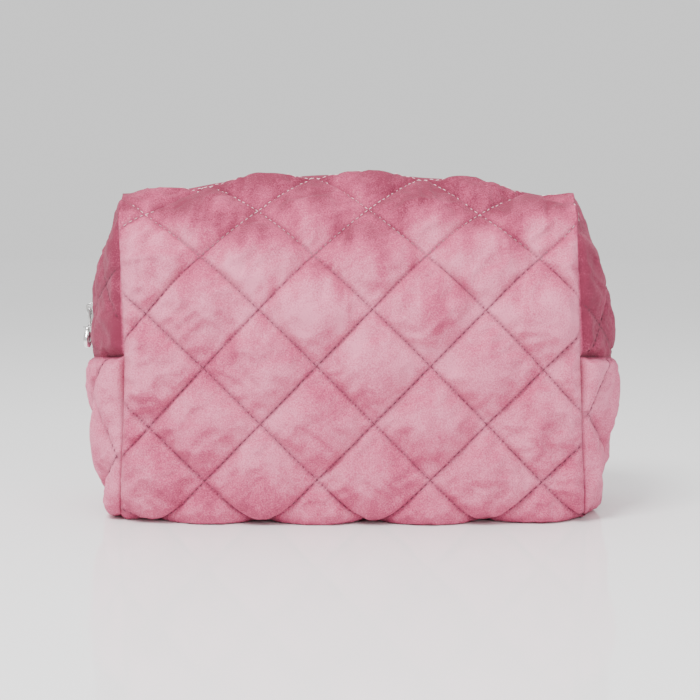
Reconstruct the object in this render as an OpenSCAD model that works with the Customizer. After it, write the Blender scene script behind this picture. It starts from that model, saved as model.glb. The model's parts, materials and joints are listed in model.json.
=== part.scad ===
// Quilted velvet make-up bag with a curved zip closure.
// Millimetres, +Z up. The bag stands on z = 0, centred on x = y = 0.
// -Y is the front, and the parked slider is at the -X end.

/* [Overall size] */
// width across the two bulged ends
bag_width = 272; // [226:0.1:327]
// depth from front wall to rear wall
bag_depth = 112; // [95:1:135]
// height of the crown above the table
bag_height = 171; // [142:0.5:206]
// how far each end bulges past its corner seams
end_bulge = 23; // [12:0.5:30]
// how far the walls fall back from the middle of a face to its corner seams
face_bulge = 9; // [4:0.5:14]

/* [Profile] */
// height of the seam across each end, where the zip stops
seam_height = 80; // [65:1:84]
// height at which the walls and ends start to curve inwards
shoulder_height = 90; // [88:1:100]
// how far the ends lean in at the top corners
end_lean = 22; // [12:0.5:28]
// how far the top falls from its middle to the top corners
crown_rise = 10.5; // [5:0.5:14]
// radius of the roll along the bottom edges
base_roll = 14; // [8:0.5:20]
// how far the walls tuck in at the bottom
base_tuck = 3; // [1:0.5:6]

/* [Padded wall] */
// thickness of the velvet
velvet = 1.2; // [0.8:0.1:2]
// thickness of the wadding
wadding = 4.2; // [2.5:0.1:6]
// thickness of the lining
lining = 0.6; // [0.4:0.1:1]
// width of the bound seam allowances inside
binding_width = 7; // [4:0.5:10]
// thickness of the bound seam allowances
binding_thickness = 1.8; // [1:0.1:3]

/* [Zip] */
// gap between the two velvet edges
zip_slot = 13; // [10.8:0.1:18]
// reach of each zip tape from the middle of the zip
tape_reach = 15; // [12:0.5:20]
// thickness of the zip tapes
tape = 0.6; // [0.4:0.1:0.9]
// thickness of the coil
coil = 2.2; // [1.8:0.1:2.6]
// width of each coil, from the middle slot out to its tape
coil_width = 2.65; // [2.2:0.05:3.2]
// distance between turns of the coil
coil_pitch = 2.6; // [2:0.1:4]
// length of the slider
slider_length = 14; // [11:0.5:17]
// width of the slider
slider_width = 10; // [9:0.25:10.5]
// height of the middle of the parked slider
slider_height = 97; // [95:0.5:102]

/* [Pull] */
// length of the link between slider and pull
link_length = 9; // [8:0.5:12]
// thickness of the link wire
link_wire = 1.2; // [1:0.1:1.4]
// length of the drop-shaped pull
pull_length = 11; // [9:0.5:16]
// width of the pull at its widest
pull_width = 8.6; // [7:0.2:12]
// thickness of the pull
pull_thickness = 4.2; // [3:0.2:5]

/* [Mouth] */
// gap left between the base and the two halves that fold open
crease_gap = 1.2; // [1:0.1:2]
// height of the line that each half of the mouth folds about
fold_height = 20; // [10:1:60]

/* [Hidden] */

half_w = bag_width / 2;
half_d = bag_depth / 2;
zip_land = zip_slot / 2 + 1.5;   // half the flat strip that the zip lies on
layer_gap = 0.1;                 // between a tape and the layers beside it
running = 0.25;                  // between pieces that slide or turn
reach = 2 * bag_width;           // long enough to cut through everything

// depths below the outer surface
d_wadding = velvet;
d_tape = velvet + wadding + layer_gap;
d_lining = d_tape + tape + layer_gap;
d_inside = d_lining + lining;
d_coil = d_tape + tape / 2;

// top corner of the ends, and the arcs that lead up to it
corner_x = half_w - end_lean;
corner_z = bag_height - crown_rise - 3;
rise_end = corner_z - shoulder_height;
end_radius = (rise_end * rise_end + end_lean * end_lean) / (2 * end_lean);
end_angle = asin(rise_end / end_radius);
rise_wall = bag_height - shoulder_height;
lean_wall = half_d - zip_land;
wall_radius = (rise_wall * rise_wall + lean_wall * lean_wall) / (2 * lean_wall);
wall_angle = 2 * atan(lean_wall / rise_wall);

arc_steps = 8;
roll_steps = 4;
crown_steps = 5;
plan_steps = 6;

function unit(v) = v / norm(v);

// a closed outline moved inwards by t, its points given anticlockwise
function inset(p, t) = [for (i = [0:len(p) - 1])
    let (a = p[(i + len(p) - 1) % len(p)], b = p[i], c = p[(i + 1) % len(p)],
         u = unit(b - a), v = unit(c - b),
         m = [-u[1] - v[1], u[0] + v[0]], q = 1 + u * v)
    b + t * m / q];

function mirrored(p) = [for (i = [len(p) - 1:-1:0]) [-p[i][0], p[i][1]]];

// right half of an outline's foot: the roll, then the side up to the shoulder
function foot(w) = concat(
    [for (i = [0:roll_steps]) let (a = -90 + 80 * i / roll_steps)
        [w - base_tuck - base_roll + base_roll * cos(a), base_roll + base_roll * sin(a)]],
    [[w - base_tuck / 4, seam_height * 0.36], [w, seam_height * 0.62], [w, shoulder_height * 0.93]]);

// outline seen from the front
end_arc = [for (i = [0:arc_steps]) let (a = end_angle * i / arc_steps)
    [half_w - end_radius * (1 - cos(a)), shoulder_height + end_radius * sin(a)]];
crown_x = corner_x - 4;
crown = [for (i = [crown_steps:-1:1]) let (x = crown_x * i / crown_steps)
    [x, bag_height - crown_rise * pow(x / crown_x, 2)]];
front_half = concat(foot(half_w), end_arc, crown);
front_outline = concat(front_half, [[0, bag_height]], mirrored(front_half));

// outline seen from the end
wall_arc = [for (i = [0:arc_steps]) let (a = wall_angle * i / arc_steps)
    [half_d - wall_radius * (1 - cos(a)), shoulder_height + wall_radius * sin(a)]];
side_half = concat(foot(half_d), wall_arc);
side_outline = concat(side_half, mirrored(side_half));

// outline seen from above
seam_x = half_w - end_bulge;
seam_y = half_d - face_bulge;
plan_end = [for (i = [0:plan_steps]) let (y = zip_land + (seam_y - zip_land) * i / plan_steps)
    [half_w - end_bulge * pow((y - zip_land) / (seam_y - zip_land), 2), y]];
plan_face = [for (i = [plan_steps - 1:-1:1]) let (x = seam_x * i / plan_steps)
    [x, half_d - face_bulge * pow(x / seam_x, 3)]];
plan_quarter = concat(plan_end, plan_face, [[0, half_d]]);
plan_rest = [for (i = [len(plan_quarter) - 2:-1:0]) [-plan_quarter[i][0], plan_quarter[i][1]]];
plan_back = concat(plan_quarter, plan_rest);
plan_front = [for (i = [1:len(plan_back) - 2]) [-plan_back[i][0], -plan_back[i][1]]];
plan_outline = concat(plan_back, [[-half_w, -zip_land]], plan_front, [[half_w, -zip_land]]);

velvet_colour = "#d08fa2";
wadding_colour = "#f3eeee";
coil_colour = "#c98a9b";
tape_colour = "#b9788a";
lining_colour = "#e7c3cb";
metal_colour = "#d9d9dc";

// everything inside the outer surface moved inwards by t
module body(t) {
    intersection() {
        rotate([90, 0, 0])
            linear_extrude(bag_depth * 2, center = true) polygon(inset(front_outline, t));
        rotate([90, 0, 90])
            linear_extrude(bag_width * 2, center = true) polygon(inset(side_outline, t));
        linear_extrude(bag_height * 2) polygon(inset(plan_outline, t));
    }
}

module layer(outer, inner) {
    difference() {
        body(outer);
        body(inner);
    }
}

module below_seam() {
    translate([-reach / 2, -reach / 2, -1]) cube([reach, reach, seam_height - crease_gap / 2 + 1]);
}

// the space above the crease on the side given by s (-1 front, 1 rear), y from `from` outwards
module mouth_side(s, from, to = reach / 2) {
    translate([-reach / 2, s > 0 ? from : -to, seam_height + crease_gap / 2])
        cube([reach, to - from, reach]);
}

module layer_base(outer, inner) {
    intersection() {
        layer(outer, inner);
        below_seam();
    }
}

module layer_mouth(s, outer, inner, from) {
    intersection() {
        layer(outer, inner);
        mouth_side(s, from);
    }
}

edge_hem = 1.4;  // velvet turned in beside the zip

module velvet_mouth(s) {
    color(velvet_colour) difference() {
        layer_mouth(s, 0, velvet + wadding, zip_slot / 2);
        intersection() {
            body(velvet);
            mouth_side(s, zip_slot / 2 + edge_hem);
        }
    }
}

module velvet_base() color(velvet_colour) layer_base(0, velvet);
module velvet_front() velvet_mouth(-1);
module velvet_rear() velvet_mouth(1);

module wadding_base() color(wadding_colour) layer_base(velvet, velvet + wadding);
module wadding_front() color(wadding_colour) layer_mouth(-1, velvet, velvet + wadding, zip_slot / 2 + edge_hem);
module wadding_rear() color(wadding_colour) layer_mouth(1, velvet, velvet + wadding, zip_slot / 2 + edge_hem);

lining_edge = slider_width / 2 + 2;

module lining_base() color(lining_colour) layer_base(velvet + wadding, velvet + wadding + lining);
module lining_front() color(lining_colour) layer_mouth(-1, d_lining, d_inside, lining_edge);
module lining_rear() color(lining_colour) layer_mouth(1, d_lining, d_inside, lining_edge);

// ---- zip ----
coil_start = running + 0.7;          // half the slot that the slider's post runs in
coil_end = coil_start + coil_width;  // where coil meets tape
stop_height = 3;
coil_foot = seam_height + 4 + stop_height;

module zip_tape(s) {
    color(tape_colour) intersection() {
        layer(d_tape, d_tape + tape);
        mouth_side(s, coil_end, tape_reach);
    }
}
module zip_tape_front() zip_tape(-1);
module zip_tape_rear() zip_tape(1);

// a strip along the zip seen from the front, from depth d0 to depth d1, above height z0
module zip_strip(d0, d1, z0) {
    intersection() {
        difference() {
            polygon(inset(front_outline, d0));
            polygon(inset(front_outline, d1));
        }
        translate([-reach / 2, z0]) square([reach, reach]);
    }
}

// extrude a front-view shape along Y over the given span on side s
module span(s, from, to) {
    translate([0, s > 0 ? to : -from, 0]) rotate([90, 0, 0])
        linear_extrude(to - from) children();
}

track_radius = end_radius - d_coil;   // radius of the zip along each end
turns_arc = floor(track_radius * end_angle * PI / 180 / coil_pitch) - 1;
turn_step = coil_pitch / track_radius * 180 / PI;
turns_top = floor(crown_x / coil_pitch) - 2;
turn = coil_pitch * 0.5;

// the turns of the coil, as short bars seen end on
module coil_turns() {
    for (side = [-1, 1]) {
        for (i = [0:turns_arc])
            translate([side * (half_w - end_radius), shoulder_height])
                rotate(side > 0 ? i * turn_step : 180 - i * turn_step)
                    translate([track_radius - coil / 2, -turn / 2]) square([coil, turn]);
    }
    for (i = [-turns_top:turns_top])
        let (x = i * coil_pitch,
             z = bag_height - crown_rise * pow(x / crown_x, 2) - d_coil,
             slope = atan(-2 * crown_rise * x / (crown_x * crown_x)))
            translate([x, z]) rotate(slope) square([turn, coil], center = true);
}

module zip_coil(s) {
    color(coil_colour) {
        span(s, coil_end - 1, coil_end) zip_strip(d_coil - coil / 2, d_coil + coil / 2, coil_foot);
        span(s, coil_start, coil_end - 1) coil_turns();
    }
}
module zip_coil_front() zip_coil(-1);
module zip_coil_rear() zip_coil(1);

// a clip on the row at the end given by e (-1 left, 1 right), in line with the coil
module row_stop(s, e) {
    color(metal_colour) translate([e * (half_w - d_coil), 0, 0])
        span(s, coil_start, coil_end)
            translate([-coil / 2 - 0.3, coil_foot - stop_height]) square([coil + 0.6, stop_height]);
}
module top_stop_front() row_stop(-1, -1);
module top_stop_rear() row_stop(1, -1);

// holds the two rows together at the other end; it clears the rear row so the mouth can part
module bottom_stop() {
    color(metal_colour) {
        row_stop(-1, 1);
        translate([half_w - d_coil + coil / 2 + running + 0.3, -coil_end, coil_foot - stop_height])
            cube([1, 2 * coil_end, stop_height]);
        translate([half_w - d_coil + coil / 2, -coil_end, coil_foot - stop_height])
            cube([1, coil_width, stop_height]);
    }
}

// ---- slider, drawn flat with the travel along +Z and outwards along -X, then set on the zip ----
plate = 1.1;
plate_clearance = 1.25;             // lets both rows part beside the slider without touching it
plate_gap = coil / 2 + plate_clearance;   // from the middle of the tape to either plate
park_angle = asin((slider_height - shoulder_height) / track_radius);
track_x = -(half_w - end_radius);   // centre of the arc that the slider runs round
post_width = 2 * (coil_start - running);
pin = 0.8;          // the pin between the arms of the link
pin_bore = pin + 0.3;
eye = pin_bore + 1; // the ring at the top of the pull
link_clearance = 0.1;
bar_z = slider_length / 2 - 2.4;    // where the link hangs from the bridge
// high enough that the link and the pull's eye hang clear of the slider, however far it leans
bridge_height = 2 * ((bar_z + slider_length / 2) * tan(park_angle) + eye / 2 + link_clearance);
bar_x = -(plate_gap + plate + bridge_height / 2);

module on_track() {
    translate([track_x, 0, shoulder_height]) rotate([0, park_angle, 0])
        translate([-track_radius, 0, 0]) children();
}

// outline of a plate: broad where the rows part, narrower where they join
module plate_outline() {
    n = slider_width / 2;
    h = slider_length / 2;
    polygon([[-n + 1.2, -h], [n - 1.2, -h], [n, -h + 1.4], [n, -h * 0.1], [n - 1.3, h * 0.55],
        [n - 1.6, h - 1], [n - 2.6, h], [-n + 2.6, h], [-n + 1.6, h - 1], [-n + 1.3, h * 0.55],
        [-n, -h * 0.1], [-n, -h + 1.4]]);
}

module slider_plate(x) {
    translate([x, 0, 0]) rotate([90, 0, 90]) linear_extrude(plate) plate_outline();
}

module slider_body() {
    color(metal_colour) on_track() {
        slider_plate(-plate_gap - plate);
        slider_plate(plate_gap);
        translate([-plate_gap - 0.2, -post_width / 2, -slider_length / 2 + 0.6])
            cube([2 * plate_gap + 0.4, post_width, 4.2]);
    }
}

// the arch over the outer plate that the link hangs from
module slider_bridge() {
    w = 2.4;
    foot_x = -(plate_gap + plate);
    z0 = bar_z - 5.8;   // clear of the top of the pull
    z1 = slider_length / 2 + 0.6;
    wall = 1.0;
    color(metal_colour) on_track() translate([0, w / 2, 0]) rotate([90, 0, 0])
        linear_extrude(w) polygon([
            [foot_x, z0], [foot_x - bridge_height * 0.55, z0 + 1.2], [foot_x - bridge_height, z0 + 4.4],
            [foot_x - bridge_height, z1 - 1.6], [foot_x - bridge_height * 0.7, z1 - 0.4],
            [foot_x, z1], [foot_x, z1 - wall - 0.2],
            [foot_x - bridge_height + wall + 0.2, z1 - wall - 0.9],
            [foot_x - bridge_height + wall, z1 - wall - 1.4],
            [foot_x - bridge_height + wall, z0 + 4.8], [foot_x - bridge_height * 0.5 + 0.4, z0 + 2.4],
            [foot_x, z0 + 2]]);
}

// ---- link and pull, hanging straight down from the bridge ----
// where the link's bar sits once the slider is on the zip
hang_x = track_x + (bar_x - track_radius) * cos(park_angle) + bar_z * sin(park_angle);
hang_z = shoulder_height - (bar_x - track_radius) * sin(park_angle) + bar_z * cos(park_angle);
link_width = 5.4;
pull_clearance = 0.55;
neck_wall = 0.2;    // between the top of the pull's neck and the bore above it
// how far outside the link the pull hangs, clear of the slider's lower end
stand_off = pull_thickness / 2 + pull_clearance
    + (bar_z + slider_length / 2) * sin(park_angle) - bridge_height / 2 * cos(park_angle);
eye_z = hang_z - link_length + link_wire;   // the pin that the pull turns on

module rod(length, d) rotate([90, 0, 0]) cylinder(d = d, h = length, center = true, $fn = 20);

module pull_link() {
    color(metal_colour) translate([hang_x, 0, 0]) {
        translate([0, 0, hang_z]) rod(link_width, link_wire);
        for (s = [-1, 1])
            translate([-link_wire / 2, s * (link_width / 2 - link_wire / 2) - link_wire / 2, eye_z - link_wire])
                cube([link_wire, link_wire, hang_z - eye_z + 2 * link_wire - link_wire / 2]);
    }
}

// the pin through the two arms of the link
module link_pin() {
    color(metal_colour) translate([hang_x, 0, eye_z]) rod(link_width - 2 * link_wire, pin);
}

module drop_pull() {
    neck = link_width - 2 * link_wire - 2 * running;
    top = eye_z - link_wire - running - 0.2;
    color(metal_colour) translate([hang_x, 0, 0]) difference() {
        union() {
            translate([0, 0, eye_z]) rod(neck, eye);
            translate([-eye / 2, -neck / 2, top - eye])
                cube([eye, neck, eye_z - pin_bore / 2 - neck_wall - top + eye]);
            translate([-stand_off, 0, top - pull_length])
                rotate([90, 0, 90]) linear_extrude(pull_thickness, center = true) drop_outline();
        }
        translate([0, 0, eye_z]) rod(link_width, pin_bore);
    }
}

// a drop, narrow at the top, standing on y = 0
module drop_outline() {
    r = pull_width / 2;
    top_r = 1.7;
    c = pull_length - r - top_r;
    tilt = asin((r - top_r) / c);
    polygon(concat(
        [for (i = [0:12]) let (a = 180 - tilt + (180 + 2 * tilt) * i / 12)
            [r * cos(a), r + r * sin(a)]],
        [for (i = [0:5]) let (a = tilt + (180 - 2 * tilt) * i / 5)
            [top_r * cos(a), pull_length - top_r + top_r * sin(a)]]));
}

// ---- bound seam allowances inside ----
// an upright fin behind each corner seam, on side s, from height z0 to height z1
fin_corner = inset(plan_outline, d_inside)[plan_steps];
module corner_fins(s, z0, z1) {
    for (e = [-1, 1]) intersection() {
        body(d_inside);
        translate([e * fin_corner[0], s * fin_corner[1], z0])
            rotate(e * s * fin_turn + (e < 0 ? 180 : 0))
                translate([-binding_width, -binding_thickness / 2, 0])
                    cube([3 * binding_width, binding_thickness, z1 - z0]);
    }
}

fin_turn = 40;   // angle of each fin from the end-to-end direction
fin_top = shoulder_height + rise_end * 0.7;
fin_foot = base_roll + 4;
crease_low = seam_height - crease_gap / 2;
crease_high = seam_height + crease_gap / 2;

module corner_bindings_base() color(tape_colour) for (s = [-1, 1]) corner_fins(s, fin_foot, crease_low);
module corner_bindings_front() color(tape_colour) corner_fins(-1, crease_high, fin_top);
module corner_bindings_rear() color(tape_colour) corner_fins(1, crease_high, fin_top);

module end_seam_bindings() {
    d_in = velvet + wadding + lining;
    color(tape_colour) for (e = [-1, 1]) intersection() {
        body(d_in);
        translate([e > 0 ? half_w - d_in - binding_width : -half_w, -seam_y / 2, crease_low - binding_thickness])
            cube([d_in + binding_width, seam_y, binding_thickness]);
    }
}

velvet_base();
velvet_front();
velvet_rear();
wadding_base();
wadding_front();
wadding_rear();
lining_base();
lining_front();
lining_rear();
zip_tape_front();
zip_tape_rear();
zip_coil_front();
zip_coil_rear();
top_stop_front();
top_stop_rear();
bottom_stop();
slider_body();
slider_bridge();
pull_link();
link_pin();
drop_pull();
corner_bindings_base();
corner_bindings_front();
corner_bindings_rear();
end_seam_bindings();
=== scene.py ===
"""Looks of a quilted velvet make-up bag with a curved zip closure.

The CAD frame gives the bodies and joints; this script builds the cloth, the zip
and the polished hardware that ride on them. Units are metres.
"""

import json
import logging
import math
from dataclasses import dataclass, field
from enum import Enum
from typing import Callable, ClassVar, Iterable, Optional, Sequence

import bmesh
import bpy
import numpy as np
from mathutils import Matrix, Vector

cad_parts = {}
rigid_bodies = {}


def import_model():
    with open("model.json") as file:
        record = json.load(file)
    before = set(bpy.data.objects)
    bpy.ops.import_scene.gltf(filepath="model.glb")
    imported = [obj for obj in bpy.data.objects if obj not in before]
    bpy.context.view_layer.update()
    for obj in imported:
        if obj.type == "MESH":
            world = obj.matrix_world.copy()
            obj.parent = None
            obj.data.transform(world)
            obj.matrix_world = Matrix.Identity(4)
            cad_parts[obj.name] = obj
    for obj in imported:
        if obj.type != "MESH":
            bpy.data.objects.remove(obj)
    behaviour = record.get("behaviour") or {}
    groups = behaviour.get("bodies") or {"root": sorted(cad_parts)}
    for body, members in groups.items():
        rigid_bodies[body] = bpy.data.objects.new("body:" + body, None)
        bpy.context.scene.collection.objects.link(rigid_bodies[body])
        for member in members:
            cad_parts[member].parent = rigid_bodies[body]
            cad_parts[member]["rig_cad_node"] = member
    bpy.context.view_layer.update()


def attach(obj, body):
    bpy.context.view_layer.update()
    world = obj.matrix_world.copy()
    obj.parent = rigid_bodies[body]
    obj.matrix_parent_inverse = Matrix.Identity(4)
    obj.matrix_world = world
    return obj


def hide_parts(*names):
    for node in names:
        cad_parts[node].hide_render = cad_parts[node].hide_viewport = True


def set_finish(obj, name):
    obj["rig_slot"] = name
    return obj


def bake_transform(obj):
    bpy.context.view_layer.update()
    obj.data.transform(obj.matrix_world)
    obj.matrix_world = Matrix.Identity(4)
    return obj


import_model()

LOG = logging.getLogger("makeup_bag")
MM = 0.001
Array = np.ndarray

STRETCH = 1.015  # the cloth is cut a little wider than the form it covers
FINE_STEP = 1.3 * MM  # spacing of the points of the velvet
QUICK_STEP = 2.4 * MM  # the same where the cloth isn't simulated
COARSE_STEP = 3.2 * MM  # spacing of the points of wadding, lining and bindings
WELD = 1e-6  # points closer than this are one
FLAT = math.radians(2)  # faces that turn less than this are one
SHARP = math.radians(25)  # edges that turn more than this are rounded
FACE_Y = -56 * MM  # the front of the bag, at which the camera's distance is measured


# --------------------------------------------------------------------------
# small maths
# --------------------------------------------------------------------------
def smooth(x: Array) -> Array:
    """Smoothstep of x clipped to 0..1."""
    x = np.clip(x, 0.0, 1.0)
    return x * x * (3.0 - 2.0 * x)


def value_noise(u: Array, v: Array, cell: float, seed: int) -> Array:
    """Smooth seeded noise over a plane.

    Args:
        u: First coordinate, in metres.
        v: Second coordinate, in metres.
        cell: Size of one lump, in metres.
        seed: Fixed seed.

    Returns:
        Noise between -1 and 1, shaped as u.
    """
    size = 64
    lattice = np.random.default_rng(seed).uniform(-1.0, 1.0, (size, size))
    x, y = u / cell, v / cell
    i, j = np.floor(x).astype(int), np.floor(y).astype(int)
    a, b = smooth(x - i), smooth(y - j)

    def at(p: Array, q: Array) -> Array:
        """Lattice value at whole steps p, q."""
        return lattice[p % size, q % size]

    low = at(i, j) * (1 - a) + at(i + 1, j) * a
    high = at(i, j + 1) * (1 - a) + at(i + 1, j + 1) * a
    return low * (1 - b) + high * b


def creases(u: Array, v: Array, across: float, along: float, turn: float, seed: int) -> Array:
    """Long soft creases: ridges narrow one way and long the other.

    Args:
        u: First coordinate, in metres.
        v: Second coordinate, in metres.
        across: Width of a crease, in metres.
        along: Length of a crease, in metres.
        turn: Direction of the creases from the u axis, in degrees.
        seed: Fixed seed.

    Returns:
        Height between about -1 and 1.
    """
    c, n = math.cos(math.radians(turn)), math.sin(math.radians(turn))
    p, q = u * c + v * n, -u * n + v * c
    q = q + 0.5 * across * value_noise(u, v, 2.5 * across, seed + 50)
    field = value_noise(q * along / across, p, along, seed)
    return 1 - 2 * np.abs(field) ** 0.8


def by_length(points: Array, step: float, soften: float) -> Array:
    """Resample an open path evenly and round it.

    Args:
        points: Corner points, one per row.
        step: Spacing wanted, in metres.
        soften: Standard deviation of the rounding, in metres.

    Returns:
        The new points, evenly spaced along the path.
    """
    seg = np.linalg.norm(np.diff(points, axis=0), axis=1)
    run = np.concatenate([[0.0], np.cumsum(seg)])
    n = max(8, int(run[-1] / step))
    at = np.linspace(0.0, run[-1], n + 1)
    path = np.stack([np.interp(at, run, points[:, k]) for k in range(points.shape[1])], 1)
    reach = int(3 * soften / (run[-1] / n)) + 1
    kernel = np.exp(-0.5 * (np.arange(-reach, reach + 1) * (run[-1] / n) / soften) ** 2)
    kernel /= kernel.sum()
    out = path.copy()
    for k in range(path.shape[1]):
        first, last = path[0, k], path[-1, k]
        before = 2 * first - path[1 : reach + 1, k][::-1]
        after = 2 * last - path[-reach - 1 : -1, k][::-1]
        out[:, k] = np.convolve(np.concatenate([before, path[:, k], after]), kernel, "valid")
    seg = np.linalg.norm(np.diff(out, axis=0), axis=1)
    run = np.concatenate([[0.0], np.cumsum(seg)])
    at = np.linspace(0.0, run[-1], n + 1)
    return np.stack([np.interp(at, run, out[:, k]) for k in range(out.shape[1])], 1)


@dataclass
class Path:
    """An open path that can be read at any distance along it."""

    points: Array
    run: Array = field(init=False)

    def __post_init__(self) -> None:
        """Work out the distance to each point."""
        seg = np.linalg.norm(np.diff(self.points, axis=0), axis=1)
        self.run = np.concatenate([[0.0], np.cumsum(seg)])

    @property
    def length(self) -> float:
        """Length of the path in metres."""
        return float(self.run[-1])

    def at(self, d: Array) -> Array:
        """Points at the distances d along the path."""
        return np.stack([np.interp(d, self.run, self.points[:, k]) for k in range(self.points.shape[1])], -1)


# --------------------------------------------------------------------------
# the bag's form
# --------------------------------------------------------------------------
@dataclass
class Form:
    """Sizes and outlines that every layer of the bag shares."""

    half_w: float = 132.5 * MM
    half_d: float = 56 * MM
    height: float = 171 * MM
    seam_x: float = 111.5 * MM
    face_back: float = 9 * MM
    seam_z: float = 81.5 * MM
    seam_sag: float = 3 * MM
    shoulder: float = 90 * MM
    crown: float = 10.5 * MM
    roll: float = 7 * MM
    tuck: float = 2.5 * MM
    skew: float = 2.3 * MM
    zip_half: float = 6.5 * MM
    tip: tuple[float, float, float] = (111.5 * MM, -36 * MM, 154.0 * MM)

    middle: Path = field(init=False)
    corner: Path = field(init=False)
    end: Path = field(init=False)
    t_tip: float = field(init=False)

    def __post_init__(self) -> None:
        """Build the outlines: middle of a face, corner seam, and end at the zip."""
        self.middle = Path(by_length(self._face_outline(), 0.5 * MM, 5 * MM))
        self.corner = Path(by_length(self._corner_outline(), 0.5 * MM, 2.2 * MM))
        self.end = Path(by_length(self._end_outline(), 0.5 * MM, 4 * MM))
        d = np.linalg.norm(self.corner.points - np.array(self.tip[1:]), axis=1)
        self.t_tip = self.corner.run[int(np.argmin(d))] / self.corner.length * self.middle.length

    def leaned(self, p: Array) -> Array:
        """The soft bag stands a little to one side at its top.

        Args:
            p: Points, one per row.

        Returns:
            The leaned points.
        """
        out = p.copy()
        out[..., 0] -= self.skew * smooth((p[..., 2] - 70 * MM) / (90 * MM))
        return out

    def _foot(self, w: float) -> list[tuple[float, float]]:
        """Roll along the bottom edge and the wall above it, for a half width w.

        Args:
            w: Half width above the roll, in metres.

        Returns:
            Points from the fold up to the shoulder.
        """
        pts = []
        for k in range(7):
            a = math.radians(-90 + 80 * k / 6)
            pts.append((w - self.tuck - self.roll + self.roll * math.cos(a), self.roll + self.roll * math.sin(a)))
        return pts + [(w - self.tuck / 4, 29 * MM), (w, 50 * MM), (w, 84 * MM)]

    def _arc(self, w: float, lean: float, top: float, steps: int) -> list[tuple[float, float]]:
        """Arc from the shoulder that has leaned in by lean at height top.

        Args:
            w: Half width above the roll, in metres.
            lean: How far the arc leans in.
            top: Height at which it has leaned that far.
            steps: Number of points.

        Returns:
            Points along the arc.
        """
        rise = top - self.shoulder
        r = (rise * rise + lean * lean) / (2 * lean)
        full = math.asin(min(1.0, rise / r)) if lean < r else math.pi - math.asin(rise / r)
        return [
            (w - r * (1 - math.cos(full * k / steps)), self.shoulder + r * math.sin(full * k / steps))
            for k in range(1, steps + 1)
        ]

    def _face_outline(self) -> Array:
        """Middle of the front, from the bottom fold up to the zip, as (y, z).

        Returns:
            Points, one per row.
        """
        flat = self.zip_half
        pts = self._foot(self.half_d) + self._arc(self.half_d, self.half_d - flat - 1.5 * MM, self.height, 24)
        pts.append((flat, self.height))
        return np.array([(-y, z) for y, z in pts])

    def _corner_outline(self) -> Array:
        """The corner seam and the fold above it, from the bottom to the zip, as (y, z).

        Returns:
            Points, one per row.
        """
        y0 = self.half_d - self.face_back
        pts = [
            (y0 - 13 * MM, 0.0), (y0 - 8 * MM, 1.2 * MM), (y0 - 3 * MM, 6 * MM), (y0, 16 * MM),
            (y0 + 0.5 * MM, 40 * MM), (y0 + 0.5 * MM, 80 * MM), (y0, 112 * MM), (y0 - 3 * MM, 134 * MM)
        ]
        tip_y = -self.tip[1]
        pts += [
            (tip_y, self.tip[2]), (tip_y - 7 * MM, self.tip[2] + 2.6 * MM), (tip_y - 18 * MM, self.tip[2] + 4.0 * MM),
            (self.zip_half, self.tip[2] + 4.6 * MM)
        ]
        return np.array([(-y, z) for y, z in pts])

    def _end_outline(self) -> Array:
        """The end at the zip, from the bottom fold to the top corner, as (x, z).

        Returns:
            Points, one per row.
        """
        lower = [
            (117, 0), (122, 1.5), (126, 7), (127.5, 18), (129.3, 32), (131.6, 48), (132.3, 60), (132.0, 74),
            (131.4, 90)
        ]
        upper = [(130.8, 100), (129.2, 112), (126.6, 122), (122.8, 134), (118.6, 144), (114.8, 152), (111.4, 158.6)]
        return np.array(lower + upper) * MM


@dataclass
class Quilt:
    """The diamond stitching over the cloth."""

    pitch: float = 55.3 * MM
    offset: float = 10.4 * MM
    row0: float = -3.0 * MM
    puff: float = 5.8 * MM
    sink: float = 2.1 * MM

    def lines(self, s: Array, t: Array) -> tuple[Array, Array]:
        """The two line counts, whole numbers on the stitch lines."""
        u, v = s - self.offset, t - self.row0
        return (u + v) / self.pitch, (u - v) / self.pitch

    def near(self, s: Array, t: Array) -> Array:
        """Distance to the nearest stitch line, in metres.

        Args:
            s: Distance across the cloth.
            t: Distance up the cloth.

        Returns:
            One distance for each point.
        """
        a, b = self.lines(s, t)
        da, db = np.abs(a - np.round(a)), np.abs(b - np.round(b))
        return np.minimum(da, db) * self.pitch / math.sqrt(2)

    def lift(self, s: Array, t: Array) -> Array:
        """Height of the padded cloth over its mean level, in metres.

        Args:
            s: Distance across the cloth.
            t: Distance up the cloth.

        Returns:
            One height for each point.
        """
        a, b = self.lines(s, t)
        fa, fb = a - np.floor(a), b - np.floor(b)

        def hump(f: Array) -> Array:
            """Steep beside the stitching and flat on top."""
            return (1 - np.abs(2 * f - 1) ** 2.5) ** 0.75

        full = hump(fa) * hump(fb)
        side = self.pitch / math.sqrt(2)
        da, db = np.minimum(fa, 1 - fa) * side, np.minimum(fb, 1 - fb) * side
        pucker = (
            np.sin(2 * math.pi * (b * side / (7.5 * MM)) + 2.5 * value_noise(s, t, 22 * MM, 5))
            * np.exp(-da / (5 * MM)) * np.clip(da / (1.5 * MM), 0, 1)
        )
        pucker += (
            np.sin(2 * math.pi * (a * side / (8.3 * MM)) + 2.5 * value_noise(s, t, 25 * MM, 6))
            * np.exp(-db / (5 * MM)) * np.clip(db / (1.5 * MM), 0, 1)
        )
        strength = 0.35 * MM * (0.6 + 0.6 * value_noise(s, t, 30 * MM, 7))
        return self.puff * full - self.sink + pucker * strength


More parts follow.
